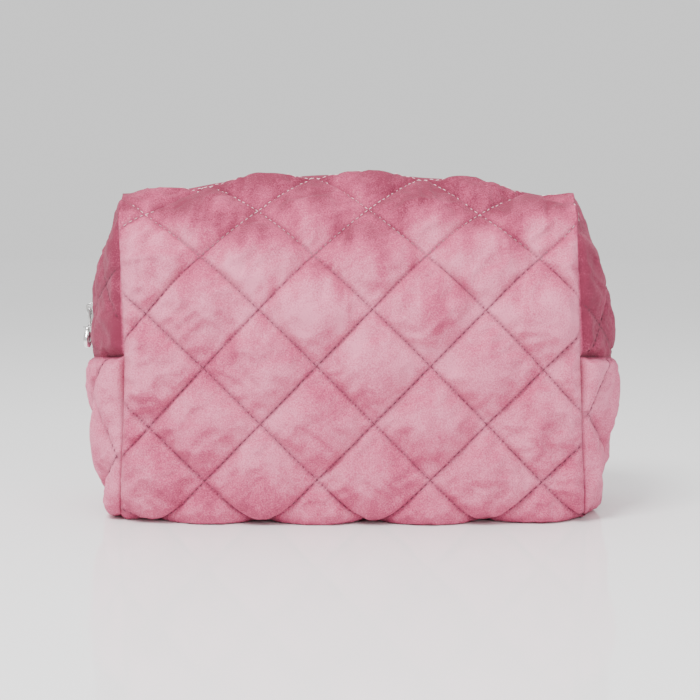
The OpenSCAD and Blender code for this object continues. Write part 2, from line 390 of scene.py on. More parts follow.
@dataclass
class Skin:
    """The welded outer sheet that every cloth layer is cut from.

    Args:
        form: Outlines of the bag.
        quilt: Stitching pattern.
        step: Spacing of the points, in metres.
    """

    form: Form
    quilt: Quilt
    step: float
    settled: bool = False
    points: Array = field(init=False)
    s: Array = field(init=False)
    t: Array = field(init=False)
    kind: Array = field(init=False)
    seam: Array = field(init=False)
    edge: Array = field(init=False)
    away: Array = field(init=False)
    faces: dict[str, Array] = field(init=False)
    grids: dict[str, Array] = field(init=False)

    def __post_init__(self) -> None:
        """Lay out the panels and weld them."""
        self._p: list[Array] = []
        self._a: list[Array] = []
        self._count = 0
        self.faces, self.grids = {}, {}
        self._layout()
        self.points = np.concatenate(self._p)
        attrs = np.concatenate(self._a)
        self.s, self.t, self.kind, self.seam, self.edge = attrs.T
        self._soften_tips()
        self.points = self.form.leaned(self.points)
        self.normals = self.normals_of(self.points)

    # -- panels ------------------------------------------------------------
    def _rows(self) -> None:
        """Distances along the face outline where rows of points lie."""
        f = self.form
        t_seam = float(np.interp(f.seam_z, f.corner.points[:, 1], f.corner.run)) / f.corner.length * f.middle.length
        n0 = max(6, round(t_seam / self.step))
        n1 = max(6, round((f.t_tip - t_seam) / self.step))
        n2 = max(8, round((f.middle.length - f.t_tip) / (self.step * 0.8)))
        self.rows = np.concatenate(
            [
                np.linspace(0, t_seam, n0 + 1), np.linspace(t_seam, f.t_tip, n1 + 1)[1:],
                np.linspace(f.t_tip, f.middle.length, n2 + 1)[1:]
            ]
        )
        self.i_seam, self.i_tip = n0, n0 + n1
        self.cols = np.linspace(-1, 1, 2 * round(f.seam_x / self.step) + 1)

    def seam_x(self, t: Array) -> Array:
        """Half width of the face between its corner seams at distance t up the cloth.

        Args:
            t: Distance up the cloth.

        Returns:
            Half width at each distance, in metres.
        """
        f = self.form
        at = np.array([0.0, 20, 55, 90, 120, 150, 165, 200]) * MM
        x = np.array([116.0, 114.5, 112.6, 111.2, 111.2, 111.3, 111.5, 111.5]) * MM
        return np.interp(t, at, x)

    def _add(self, p: Array, attrs: Sequence[Array]) -> Array:
        """Add a grid of points and return their numbers, shaped as the grid.

        Args:
            p: Points, one per row.
            attrs: Values of s, t, kind, seam distance and edge distance.

        Returns:
            Point numbers, shaped as the grid.
        """
        shape = p.shape[:2]
        flat = p.reshape(-1, 3)
        self._p.append(flat)
        self._a.append(np.stack([np.broadcast_to(a, shape).reshape(-1) for a in attrs], 1))
        ids = np.arange(self._count, self._count + len(flat)).reshape(shape)
        self._count += len(flat)
        return ids

    @staticmethod
    def _quads(ids: Array, flip: bool) -> Array:
        """Quads over a grid of point numbers, turned over if flip is set."""
        q = np.stack([ids[:-1, :-1], ids[:-1, 1:], ids[1:, 1:], ids[1:, :-1]], -1).reshape(-1, 4)
        return q[:, ::-1] if flip else q

    def _face(self, side: int) -> Array:
        """Front (side -1) or rear (side 1) panel with its roll over the top.

        Args:
            side: -1 for the front, 1 for the rear.

        Returns:
            Point numbers of the panel.
        """
        f = self.form
        t = self.rows[:, None]
        x_frac = self.cols[None, :]
        mid = f.middle.at(self.rows)
        cor = f.corner.at(self.rows / f.middle.length * f.corner.length)
        b = np.abs(x_frac)
        # how far each point has given way from the middle outline to the corner outline
        lower = b**3.2
        upper = b**5.0
        up = smooth((self.rows - 100 * MM) / (70 * MM))[:, None]
        share = lower * (1 - up) + upper * up
        x = x_frac * self.seam_x(self.rows)[:, None]
        crown = f.crown * (np.abs(x) / (110 * MM)) ** 2
        high = smooth((self.rows - 120 * MM) / (60 * MM))[:, None]
        y = mid[:, :1] * (1 - share) + cor[:, :1] * share
        z = (mid[:, 1:] - crown * high) * (1 - share) + cor[:, 1:] * share
        p = np.stack([x + 0 * y, y, z], -1)
        if side > 0:
            p[..., 1] *= -1
        seam = (1 - b) * self.seam_x(self.rows)[:, None]
        beyond = np.clip(self.rows - f.t_tip, 0, None)[:, None]
        seam = np.hypot(seam, beyond)
        edge = (f.middle.length - self.rows)[:, None] + 0 * x_frac
        ids = self._add(p, [x * STRETCH, t + 0 * x_frac, 0.0, seam, edge])
        return ids

    def _upper_end(self, face: Array, side: int, hand: int) -> Array:
        """Quarter of an end above its seam, between corner seam and zip.

        Args:
            face: Point numbers of the face beside it.
            side: -1 for the front, 1 for the rear.
            hand: -1 for the left end, 1 for the right.

        Returns:
            Point numbers of the quarter.
        """
        f = self.form
        col = -1 if hand > 0 else 0
        seam_ids = face[self.i_seam : self.i_tip + 1, col]
        top_ids = face[self.i_tip :, col]
        pts = np.concatenate(self._p)
        c, top = pts[seam_ids], pts[top_ids]
        n, m = len(seam_ids) - 1, len(top_ids) - 1
        k = np.linspace(0, 1, n + 1)
        z_low = f.seam_z - f.seam_sag
        on_end = f.end.points
        i_low = float(np.interp(z_low, on_end[:, 1], f.end.run))
        rise = i_low + (f.end.length - i_low) * k
        zx = f.end.at(rise)
        zp = np.stack([hand * zx[:, 0], np.full(n + 1, side * f.zip_half), zx[:, 1]], 1)
        q = np.linspace(0, 1, m + 1)[None, :, None]
        ease = 1 - (1 - q) ** 2.1
        p = np.empty((n + 1, m + 1, 3))
        p[..., 0:1] = c[:, None, 0:1] * (1 - ease) + zp[:, None, 0:1] * ease
        p[..., 1:2] = c[:, None, 1:2] * (1 - q) + zp[:, None, 1:2] * q
        p[..., 2:3] = c[:, None, 2:3] * (1 - q) + zp[:, None, 2:3] * q
        sag = f.seam_sag * (1 - (1 - q[0, :, 0]) ** 2)
        p[0, :, 2] = c[0, 2] - sag
        fix = top - p[n]
        p += (k[:, None, None] ** 4) * fix[None]
        width = np.linalg.norm(np.diff(p, axis=1), axis=2)
        across = np.concatenate([np.zeros((n + 1, 1)), np.cumsum(width, 1)], 1)
        fall = np.linalg.norm(np.diff(p, axis=0), axis=2)
        down = np.concatenate([np.cumsum(fall[::-1], 0)[::-1], np.zeros((1, m + 1))], 0)
        rim = f.middle.length - (across[:, -1:] - across)
        s = hand * (np.abs(pts[top_ids[0]][0]) * STRETCH + down)
        seam = np.minimum(across, (down[0:1] - down))
        kind = np.full((n + 1, m + 1), 1.0)
        ids = self._add(p, [s, rim, kind, seam, across[:, -1:] - across])
        ids[:, 0] = seam_ids
        ids[n, :] = top_ids
        return ids

    def _lower_end(self, front: Array, rear: Array, hand: int, low_front: Array, low_rear: Array) -> Array:
        """The end below its seam, between the two corner seams.

        Args:
            front: Point numbers of the front face.
            rear: Point numbers of the rear face.
            hand: -1 for the left end, 1 for the right.
            low_front: Point numbers of the front quarter above it.
            low_rear: Point numbers of the rear quarter above it.

        Returns:
            Point numbers of the panel.
        """
        f = self.form
        col = -1 if hand > 0 else 0
        a_ids, b_ids = front[: self.i_seam + 1, col], rear[: self.i_seam + 1, col]
        pts = np.concatenate(self._p)
        a, b = pts[a_ids], pts[b_ids]
        n = self.i_seam
        m = (low_front.shape[1] - 1) * 2 + self.zip_cols
        y = np.linspace(-1, 1, m + 1)
        k = self.rows[: n + 1] / self.rows[n]
        rise = float(np.interp(f.seam_z - f.seam_sag, f.end.points[:, 1], f.end.run))
        zx = f.end.at(rise * k)
        bulge = 1 - np.abs(y) ** 2.1
        p = np.empty((n + 1, m + 1, 3))
        base = np.abs(a[:, 0])[:, None]
        p[..., 0] = (
            hand * (base + (zx[:, :1] + 1.2 * MM * np.sin(math.pi * np.clip(k, 0, 1))[:, None] - base) * bulge[None])
        )
        p[..., 1] = a[:, 1:2] * (1 - y[None]) / 2 + b[:, 1:2] * (1 + y[None]) / 2
        p[..., 2] = a[:, 2:3] * (1 - bulge[None]) + zx[:, 1:] * bulge[None]
        # the top edge follows the edge of the upper quarters
        upper = np.concatenate([low_front[0], self.gap_ids[hand], low_rear[0][::-1]])
        top_pts = np.concatenate(self._p)[upper]
        p += (k[:, None, None] ** 8) * (top_pts - p[n])[None]
        width = np.linalg.norm(np.diff(p, axis=1), axis=2)
        across = np.concatenate([np.zeros((n + 1, 1)), np.cumsum(width, 1)], 1)
        fall = np.linalg.norm(np.diff(p, axis=0), axis=2)
        up = np.concatenate([np.zeros((1, m + 1)), np.cumsum(fall, 0)], 0)
        s = hand * (np.abs(a[0, 0]) * STRETCH + up)
        t = -across
        seam = np.minimum(np.minimum(across, across[:, -1:] - across), up[-1:] - up)
        ids = self._add(p, [s, t, 2.0, seam, 1.0])
        ids[:, 0], ids[:, -1] = a_ids, b_ids
        ids[n, :] = upper
        return ids

    def _layout(self) -> None:
        """Lay out every panel and keep its grid and faces."""
        f = self.form
        self._rows()
        front, rear = self._face(-1), self._face(1)
        self.grids["front"], self.grids["rear"] = front, rear
        self.zip_cols = max(2, 2 * round(f.zip_half / self.step / 1.3))
        quarters: dict[tuple[int, int], Array] = {}
        self.gap_ids: dict[int, Array] = {}
        for side, face in ((-1, front), (1, rear)):
            for hand in (-1, 1):
                quarters[side, hand] = self._upper_end(face, side, hand)
        for hand in (-1, 1):
            pts = np.concatenate(self._p)
            a, b = pts[quarters[-1, hand][0, -1]], pts[quarters[1, hand][0, -1]]
            k = np.linspace(0, 1, self.zip_cols + 1)[1:-1, None]
            line = a * (1 - k) + b * k
            self.gap_ids[hand] = self._add(line[None], [hand * 0.2, -0.05, 2.0, 0.0, 1.0])[0]
            ids = self._lower_end(front, rear, hand, quarters[-1, hand], quarters[1, hand])
            self.grids["low_left" if hand < 0 else "low_right"] = ids
            self.faces["low_left" if hand < 0 else "low_right"] = self._quads(ids, hand < 0)
        for (side, hand), ids in quarters.items():
            name = ("front" if side < 0 else "rear") + ("_left" if hand < 0 else "_right")
            self.grids[name] = ids
            self.faces[name] = self._quads(ids, (side < 0) != (hand > 0))
        self.faces["front"] = self._quads(front, False)
        self.faces["rear"] = self._quads(rear, True)
        self._underside(front, rear)

    def _underside(self, front: Array, rear: Array) -> None:
        """The flat panel that the bag stands on.

        Args:
            front: Point numbers of the front face.
            rear: Point numbers of the rear face.
        """
        left, right = self.grids["low_left"][0], self.grids["low_right"][0]
        pts = np.concatenate(self._p)
        n, m = len(left) - 1, front.shape[1] - 1
        k = np.linspace(0, 1, n + 1)[:, None, None]
        q = np.linspace(0, 1, m + 1)[None, :, None]
        f0, r0, l0, g0 = pts[front[0]], pts[rear[0]], pts[left], pts[right]
        corner = (
            f0[0] * (1 - k) * (1 - q) + f0[-1] * (1 - k) * q + r0[0] * k * (1 - q) + r0[-1] * k * q
        )
        p = f0[None] * (1 - k) + r0[None] * k + l0[:, None] * (1 - q) + g0[:, None] * q - corner
        ids = self._add(p, [p[..., 0] * STRETCH, -(p[..., 1] - f0[m // 2, 1]), 3.0, 1.0, 1.0])
        ids[0], ids[-1], ids[:, 0], ids[:, -1] = front[0], rear[0], left, right
        self.grids["under"] = ids
        self.faces["under"] = self._quads(ids, True)

    def from_tips(self, p: Array) -> Array:
        """Distance of every point to the nearest of the four top corners."""
        folded = np.stack([np.abs(p[:, 0]), -np.abs(p[:, 1]), p[:, 2]], 1)
        return np.linalg.norm(folded - np.array(self.form.tip), axis=1)

    def _soften_tips(self) -> None:
        """Round the four top corners of the sheet a little."""
        self.away = self.from_tips(self.points)
        quads = np.concatenate(list(self.faces.values()))
        weight = np.exp(-((self.away / (7 * MM)) ** 2))[:, None]
        for _ in range(round(14 * (1.3 * MM / self.step) ** 2) + 1):
            total, count = np.zeros_like(self.points), np.zeros((len(self.points), 1))
            for k in range(4):
                np.add.at(total, quads[:, k], self.points[quads[:, (k + 1) % 4]] + self.points[quads[:, (k + 3) % 4]])
                np.add.at(count, quads[:, k], 2)
            mean = np.where(count > 0, total / np.maximum(count, 1), self.points)
            self.points += 0.5 * weight * (mean - self.points)

    # -- surfaces ----------------------------------------------------------
    def normals_of(self, p: Array) -> Array:
        """Outward normal at every point of the welded sheet.

        Args:
            p: Points, one per row.

        Returns:
            Unit directions, one per row.
        """
        quads = np.concatenate(list(self.faces.values()))
        a, b, c, d = (p[quads[:, k]] for k in range(4))
        fn = np.cross(c - a, d - b)
        n = np.zeros_like(p)
        for k in range(4):
            np.add.at(n, quads[:, k], fn)
        return n / np.maximum(np.linalg.norm(n, axis=1, keepdims=True), 1e-12)

    def panel_steps(self, name: str) -> tuple[Array, Array]:
        """Row and column places of a panel, so that two skins can be matched.

        Args:
            name: Name to give it.

        Returns:
            Places of the rows and of the columns.
        """
        rows, cols = self.grids[name].shape
        if name in ("front", "rear"):
            return self.rows, np.linspace(0, 1, cols)
        return np.linspace(0, 1, rows), np.linspace(0, 1, cols)

    def borrow(self, other: "Skin", moved: Array) -> Array:
        """Read another skin's per-point values at this skin's points.

        Args:
            other: The skin that is read.
            moved: Its values, one row per point.

        Returns:
            The values at this skin's points.
        """
        out = np.zeros((len(self.points), moved.shape[1]))
        for name, ids in self.grids.items():
            r, c = self.panel_steps(name)
            ro, co = other.panel_steps(name)
            i = np.clip(np.interp(r, ro, np.arange(len(ro))), 0, len(ro) - 1.0001)
            j = np.clip(np.interp(c, co, np.arange(len(co))), 0, len(co) - 1.0001)
            i0, j0 = i.astype(int), j.astype(int)
            a, b = (i - i0)[:, None, None], (j - j0)[None, :, None]
            g = moved[other.grids[name]]
            low = g[i0][:, j0] * (1 - b) + g[i0][:, j0 + 1] * b
            high = g[i0 + 1][:, j0] * (1 - b) + g[i0 + 1][:, j0 + 1] * b
            out[ids] = low * (1 - a) + high * a
        return out

    def quilted(self) -> Array:
        """Points of the outer surface with its puffs, grooves and seams.

        Returns:
            Points, one per row.
        """
        p = self._formed()
        if self.settled:
            p = p + self.borrow(*Settling(self.form, self.quilt).moves())
            p[:, 2] = np.maximum(p[:, 2], 0.0)
        return p

    def _formed(self) -> Array:
        """The surface before the cloth has settled.

        Returns:
            Points, one per row.
        """
        s, t = self.s, self.t
        lift = self.quilt.lift(s, t)
        calm = smooth(self.seam / (9 * MM)) * smooth(self.edge / (7 * MM))
        lift = lift * calm * np.select([self.kind == 0, self.kind == 1], [1.0, 0.5], 0.8)
        lift += 0.8 * MM * value_noise(s, t, 48 * MM, 11) * calm
        lift += 0.30 * MM * value_noise(s, t * 0.6, 13 * MM, 12)
        at_tip = np.exp(-((self.away / (18 * MM)) ** 2))
        over = smooth((self.t - self.form.t_tip + 4 * MM) / (8 * MM)) * (self.kind != 2)
        inside = smooth(self.quilt.near(s, t) / (4 * MM)) * calm
        side = smooth((np.abs(self.points[:, 0]) - 62 * MM) / (40 * MM)) * (self.kind == 0)
        level = creases(s, t, 5.5 * MM, 26 * MM, 4.0, 61) * side * smooth((150 * MM - t) / (30 * MM))
        upright = creases(s, t, 6.5 * MM, 30 * MM, 84.0, 62) * smooth((t - 105 * MM) / (30 * MM)) * (self.kind == 0)
        slant = creases(s, t, 7.5 * MM, 24 * MM, 38.0, 63) * smooth(value_noise(s, t, 42 * MM, 64) * 1.6)
        counter = creases(s, t, 7.0 * MM, 22 * MM, -42.0, 65) * smooth(value_noise(s, t, 38 * MM, 66) * 1.6)
        lift += (0.78 * level + 0.55 * upright + 0.58 * slant + 0.50 * counter) * MM * inside
        seam_depth = np.where(self.kind == 1, 3.0, 2.4) * MM * (1 - 0.9 * np.maximum(at_tip, over))
        lift -= seam_depth * np.exp(-((self.seam / (2.6 * MM)) ** 2))
        # small gathers run away from the corner seams
        lift += (
            (1 - at_tip) * 0.6 * MM * np.sin(2 * math.pi * t / (9.5 * MM) + 3 * value_noise(s, t, 20 * MM, 14))
            * np.exp(-self.seam / (7 * MM)) * smooth(self.seam / (3 * MM)) * (self.kind == 0)
        )
        lift -= 1.2 * MM * np.exp(-((self.edge / (3.0 * MM)) ** 2))
        # the lower end stands proud of the upper one where they meet
        proud = (
            (self.kind == 2) * 2.4 * MM * smooth(self.seam / (2.5 * MM))
            * smooth((self.points[:, 2] - 40 * MM) / (30 * MM))
        )
        lift += proud
        lift *= 1 - 0.92 * np.exp(-((self.away / (10 * MM)) ** 2))
        p = self.points + self.normals * lift[:, None]
        under = self.kind == 3
        p[under, 2] = np.maximum(p[under, 2], 0.6 * MM * (1 - calm[under]))
        p[:, 2] = np.maximum(p[:, 2], 0.0)
        return p


@dataclass
class Settling:
    """Cloth simulation that lets the padded velvet find its own wrinkles.

    The quilted sheet is held along its stitching and seams and blown up a little
    from inside, with slightly more cloth than the form needs.
    """

    form: Form
    quilt: Quilt
    step: float = 2.0 * MM
    frames: int = 18
    pressure: float = 4.0
    spare: float = -0.045  # extra cloth, as Blender's negative shrink
    limit: float = 2.6 * MM
    result: ClassVar[Optional[tuple[Skin, Array]]] = None

    def moves(self) -> tuple[Skin, Array]:
        """The simulated skin and how far each of its points moved.

        Returns:
            The simulated skin and the moves.
        """
        if Settling.result is None:
            Settling.result = self._run()
        return Settling.result

    def _run(self) -> tuple[Skin, Array]:
        """Simulate once.

        Returns:
            The simulated skin and the moves.
        """
        skin = Skin(self.form, self.quilt, self.step)
        start = skin._formed()
        quads = np.concatenate(list(skin.faces.values()))
        used, flat = np.unique(quads, return_inverse=True)
        obj = new_object("settling_cloth", start[used], flat.reshape(quads.shape))
        near = skin.quilt.near(skin.s, skin.t)
        held = np.exp(-((near / (1.3 * MM)) ** 2)) * (skin.seam > 4 * MM)
        held = np.maximum(held, np.exp(-((skin.seam / (1.8 * MM)) ** 2)))
        held = np.maximum(held, np.exp(-((skin.edge / (3 * MM)) ** 2)))
        held = np.where(skin.kind == 3, 1.0, np.where(start[:, 2] < 2 * MM, 1.0, held))
        group = obj.vertex_groups.new(name="stitched")
        for level in range(1, 11):
            chosen = np.nonzero(np.round(held[used] * 10) == level)[0]
            group.add([int(i) for i in chosen], level / 10, "REPLACE")
        cloth = obj.modifiers.new("cloth", "CLOTH")
        settings = cloth.settings
        settings.quality = 4
        settings.mass = 0.3
        settings.tension_stiffness = settings.compression_stiffness = 12
        settings.shear_stiffness = 6
        settings.bending_stiffness = 0.4
        settings.use_pressure = True
        settings.uniform_pressure_force = self.pressure
        settings.vertex_group_mass = "stitched"
        settings.pin_stiffness = 4
        settings.shrink_min = self.spare
        settings.effector_weights.gravity = 0
        cloth.collision_settings.use_collision = False
        cloth.point_cache.frame_start, cloth.point_cache.frame_end = 1, self.frames
        scene = bpy.context.scene
        for number in range(1, self.frames + 1):
            scene.frame_set(number)
        graph = bpy.context.evaluated_depsgraph_get()
        moved = np.empty(len(used) * 3)
        obj.evaluated_get(graph).data.vertices.foreach_get("co", moved)
        scene.frame_set(1)
        bpy.data.objects.remove(obj)
        delta = np.zeros_like(start)
        delta[used] = moved.reshape(-1, 3) - start[used]
        size = np.linalg.norm(delta, axis=1, keepdims=True)
        delta *= self.limit * np.tanh(size / self.limit) / np.maximum(size, 1e-9)
        LOG.info(
            "settled cloth: %d points, mean move %.2f mm, largest %.2f mm", len(used), size.mean() / MM,
            size.max() / MM
        )
        return skin, delta


# --------------------------------------------------------------------------
# mesh helpers
# --------------------------------------------------------------------------
def linked(name: str, data: bpy.types.ID) -> bpy.types.Object:
    """A new object at the origin that holds the data, linked to the scene.

    Args:
        name: Name to give it.
        data: The mesh, light or camera.

    Returns:
        The object.
    """
    obj = bpy.data.objects.new(name, data)
    bpy.context.scene.collection.objects.link(obj)
    return obj


def finished(bm: bmesh.types.BMesh, name: str) -> bpy.types.Object:
    """Write a working mesh out as a smooth-shaded object, and free it.

    Args:
        bm: The working mesh.
        name: Name to give it.

    Returns:
        The object.
    """
    mesh = bpy.data.meshes.new(name)
    bm.to_mesh(mesh)
    bm.free()
    mesh.polygons.foreach_set("use_smooth", [True] * len(mesh.polygons))
    return linked(name, mesh)


def new_object(
    name: str, verts: Array, faces: Iterable[Sequence[int]], smooth_shade: bool = True
) -> bpy.types.Object:
    """Make a mesh object at the origin and link it to the scene.

    Args:
        name: Name to give it.
        verts: Points, one per row.
        faces: Point numbers of each face.
        smooth_shade: Whether the faces shade smoothly.

    Returns:
        The object.
    """
    mesh = bpy.data.meshes.new(name)
    mesh.from_pydata([tuple(map(float, v)) for v in verts], [], [tuple(map(int, f)) for f in faces])
    mesh.validate()
    mesh.update()
    if smooth_shade:
        mesh.polygons.foreach_set("use_smooth", [True] * len(mesh.polygons))
    return linked(name, mesh)


def close_shell(outer: Array, inner: Array, quads: Array) -> tuple[Array, list[tuple[int, ...]], Array]:
    """Join an outer and an inner sheet into one closed solid.

    Args:
        outer: Outer points.
        inner: Inner points, one for each outer point.
        quads: Faces of the outer sheet, turned outwards.

    Returns:
        The points used, the faces, and the numbers of the outer points kept.
    """
    used, flat = np.unique(quads, return_inverse=True)
    q = flat.reshape(quads.shape)
    n = len(used)
    edges: dict[tuple[int, int], tuple[int, int]] = {}
    for a, b in zip(q.reshape(-1), np.roll(q, -1, axis=1).reshape(-1)):
        key = (min(a, b), max(a, b))
        if key in edges:
            edges[key] = (-1, -1)
        else:
            edges[key] = (int(a), int(b))
    rim = [(b, a, a + n, b + n) for a, b in edges.values() if a >= 0]
    faces = [tuple(map(int, f)) for f in q] + [tuple(int(i) + n for i in f[::-1]) for f in q] + rim
    return np.concatenate([outer[used], inner[used]]), faces, used


def set_attribute(obj: bpy.types.Object, name: str, values: Array) -> None:
    """Store one number per point on a mesh."""
    attribute = obj.data.attributes.new(name, "FLOAT", "POINT")
    attribute.data.foreach_set("value", np.asarray(values, np.float32))


def set_directions(mesh: bpy.types.Mesh, name: str, values: Array) -> None:
    """Store one vector per point on a mesh."""
    attribute = mesh.attributes.new(name, "FLOAT_VECTOR", "POINT")
    attribute.data.foreach_set("vector", values.astype(np.float32).reshape(-1))


def new_tree(name: str, sizes: Sequence[str]) -> bpy.types.NodeTree:
    """A geometry node tree with one number input for each named size.

    Args:
        name: Name to give it.
        sizes: The named sizes.

    Returns:
        The tree.
    """
    tree = bpy.data.node_groups.new(name, "GeometryNodeTree")
    tree.interface.new_socket("Geometry", in_out="INPUT", socket_type="NodeSocketGeometry")
    for size in sizes:
        tree.interface.new_socket(size, in_out="INPUT", socket_type="NodeSocketFloat")
    tree.interface.new_socket("Geometry", in_out="OUTPUT", socket_type="NodeSocketGeometry")
    return tree


def grown(carrier: bpy.types.Object, tree: bpy.types.NodeTree, sizes: dict[str, float]) -> bpy.types.Object:
    """Run a tree on an object, and turn the result into a plain mesh of the same name.

    Args:
        carrier: Object whose points carry the shapes; it is used up.
        tree: The node tree.
        sizes: The named sizes.

    Returns:
        The object.
    """
    modifier = carrier.modifiers.new(tree.name, "NODES")
    modifier.node_group = tree
    for item in tree.interface.items_tree:
        if item.item_type == "SOCKET" and item.in_out == "INPUT" and item.name in sizes:
            modifier[item.identifier] = sizes[item.name]
    name = carrier.name
    bpy.context.view_layer.update()
    graph = bpy.context.evaluated_depsgraph_get()
    mesh = bpy.data.meshes.new_from_object(carrier.evaluated_get(graph))
    bpy.data.objects.remove(carrier)
    return linked(name, mesh)


# --------------------------------------------------------------------------
# colour and node helpers
# --------------------------------------------------------------------------
def linear(hex_colour: str) -> tuple[float, float, float, float]:
    """Linear RGBA from an sRGB hex colour.

    Args:
        hex_colour: Colour as #rrggbb.

    Returns:
        Red, green, blue and alpha.
    """
    out = []
    for k in (1, 3, 5):
        c = int(hex_colour[k : k + 2], 16) / 255
        out.append(c / 12.92 if c <= 0.04045 else ((c + 0.055) / 1.055) ** 2.4)
    return out[0], out[1], out[2], 1.0


def add_node(tree: bpy.types.NodeTree, kind: str, links: Optional[dict] = None, **settings: object) -> bpy.types.Node:
    """Add a node with its settings and links.

    Args:
        tree: Node tree to add to.
        kind: Node type name.
        links: Input socket (name or number) to a value or an output socket.
        **settings: Properties of the node.

    Returns:
        The new node.
    """
    node = tree.nodes.new(kind)
    for key, value in settings.items():
        setattr(node, key, value)
    for key, value in (links or {}).items():
        socket = node.inputs[key]
        if isinstance(value, bpy.types.NodeSocket):
            tree.links.new(value, socket)
        else:
            socket.default_value = value
    return node


def fresh_material(name: str) -> tuple[bpy.types.Material, bpy.types.NodeTree, bpy.types.Node]:
    """A new node material with its tree and its Principled shader.

    Args:
        name: Name to give it.

    Returns:
        The material, its tree and its shader.
    """
    material = bpy.data.materials.new(name)
    material.use_nodes = True
    tree = material.node_tree
    tree.nodes.clear()
    shader = add_node(tree, "ShaderNodeBsdfPrincipled")
    add_node(tree, "ShaderNodeOutputMaterial", {"Surface": shader.outputs[0]})
    return material, tree, shader


def ramp(
    tree: bpy.types.NodeTree, factor: bpy.types.NodeSocket, stops: Sequence[tuple[float, str]]
) -> bpy.types.NodeSocket:
    """Colour ramp through sRGB hex stops.

    Args:
        tree: The node tree.
        factor: Socket that is read, 0 to 1.
        stops: Place and sRGB hex colour of each stop.

    Returns:
        The colour socket.
    """
    node = add_node(tree, "ShaderNodeValToRGB", {"Fac": factor})
    elements = node.color_ramp.elements
    while len(elements) < len(stops):
        elements.new(0.5)
    for element, (place, colour) in zip(elements, stops):
        element.position = place
        element.color = linear(colour)
    return node.outputs[0]


# --------------------------------------------------------------------------
# finishes
# --------------------------------------------------------------------------
@dataclass(frozen=True)
class Velvet:
    """Polyester velvet: a dense short pile that lightens where it lies away from the light; this lightness is painted
    into its colour as painted shade and sheen.
    """

    dark: str = "#7d2b43"
    middle: str = "#c15376"
    light: str = "#e688a4"
    # colour of pressed pile and of painted shade in the stitch and seam grooves
    crushed_and_shaded: str = "#6b2439"
    pile: float = 0.65 * MM  # drawn coarser than the real 0.1 mm pile so that it shows

    def build(self) -> bpy.types.Material:
        """Make the material. It reads two attributes: the pile's lightness, which holds painted shade and sheen, and
        the pressing beside the stitching, which holds painted shade in the grooves.

        Returns:
            The material.
        """
        material, tree, shader = fresh_material("velvet pile")
        where = add_node(tree, "ShaderNodeTexCoord").outputs["Object"]
        nap = add_node(tree, "ShaderNodeAttribute", attribute_name="nap").outputs["Fac"]
        crush = add_node(tree, "ShaderNodeAttribute", attribute_name="crush").outputs["Fac"]
        blotch = add_node(
            tree, "ShaderNodeTexNoise", {"Vector": where, "Scale": 1 / (26 * MM), "Detail": 3.0, "Roughness": 0.55}
        ).outputs[0]
        brushed = add_node(tree, "ShaderNodeMapping", {"Vector": where, "Scale": (1.0, 1.0, 0.28)}).outputs[0]
        streak = add_node(
            tree, "ShaderNodeTexNoise", {"Vector": brushed, "Scale": 1 / (5 * MM), "Detail": 3.0, "Roughness": 0.6}
        ).outputs[0]
        fine = add_node(
            tree, "ShaderNodeTexNoise", {"Vector": where, "Scale": 1 / self.pile, "Detail": 2.0, "Roughness": 0.7}
        ).outputs[0]
        shift = add_node(tree, "ShaderNodeMath", {0: blotch, 1: 0.5}, operation="SUBTRACT").outputs[0]
        shift = add_node(tree, "ShaderNodeMath", {0: shift, 1: 0.35, 2: nap}, operation="MULTIPLY_ADD").outputs[0]
        grain = add_node(tree, "ShaderNodeMath", {0: streak, 1: 0.5}, operation="SUBTRACT").outputs[0]
        shift = add_node(tree, "ShaderNodeMath", {0: grain, 1: 0.22, 2: shift}, operation="MULTIPLY_ADD").outputs[0]
        speck = add_node(tree, "ShaderNodeMath", {0: fine, 1: 0.5}, operation="SUBTRACT").outputs[0]
        shift = add_node(tree, "ShaderNodeMath", {0: speck, 1: 1.3, 2: shift}, operation="MULTIPLY_ADD").outputs[0]
        colour = ramp(tree, shift, [(0.0, self.dark), (0.5, self.middle), (1.0, self.light)])
        # pressed pile and painted groove shade are mixed in here; sockets 0, 6 and 7 are the factor and the two
        # colours
        mixed = add_node(tree, "ShaderNodeMix", {0: crush, 6: colour, 7: linear(self.crushed_and_shaded)}, data_type="RGBA")
        tree.links.new(mixed.outputs[2], shader.inputs["Base Color"])
        bump = add_node(tree, "ShaderNodeBump", {"Height": fine, "Strength": 1.0, "Distance": 0.45 * MM})
        bump2 = add_node(
            tree, "ShaderNodeBump",
            {"Height": streak, "Strength": 0.25, "Distance": 0.5 * MM, "Normal": bump.outputs[0]}
        )
        tree.links.new(bump2.outputs[0], shader.inputs["Normal"])
        shader.inputs["Roughness"].default_value = 0.85
        shader.inputs["Specular IOR Level"].default_value = 0.2
        shader.inputs["Sheen Weight"].default_value = 0.22
        shader.inputs["Sheen Roughness"].default_value = 0.45
        shader.inputs["Sheen Tint"].default_value = linear("#ffb9ca")
        return material


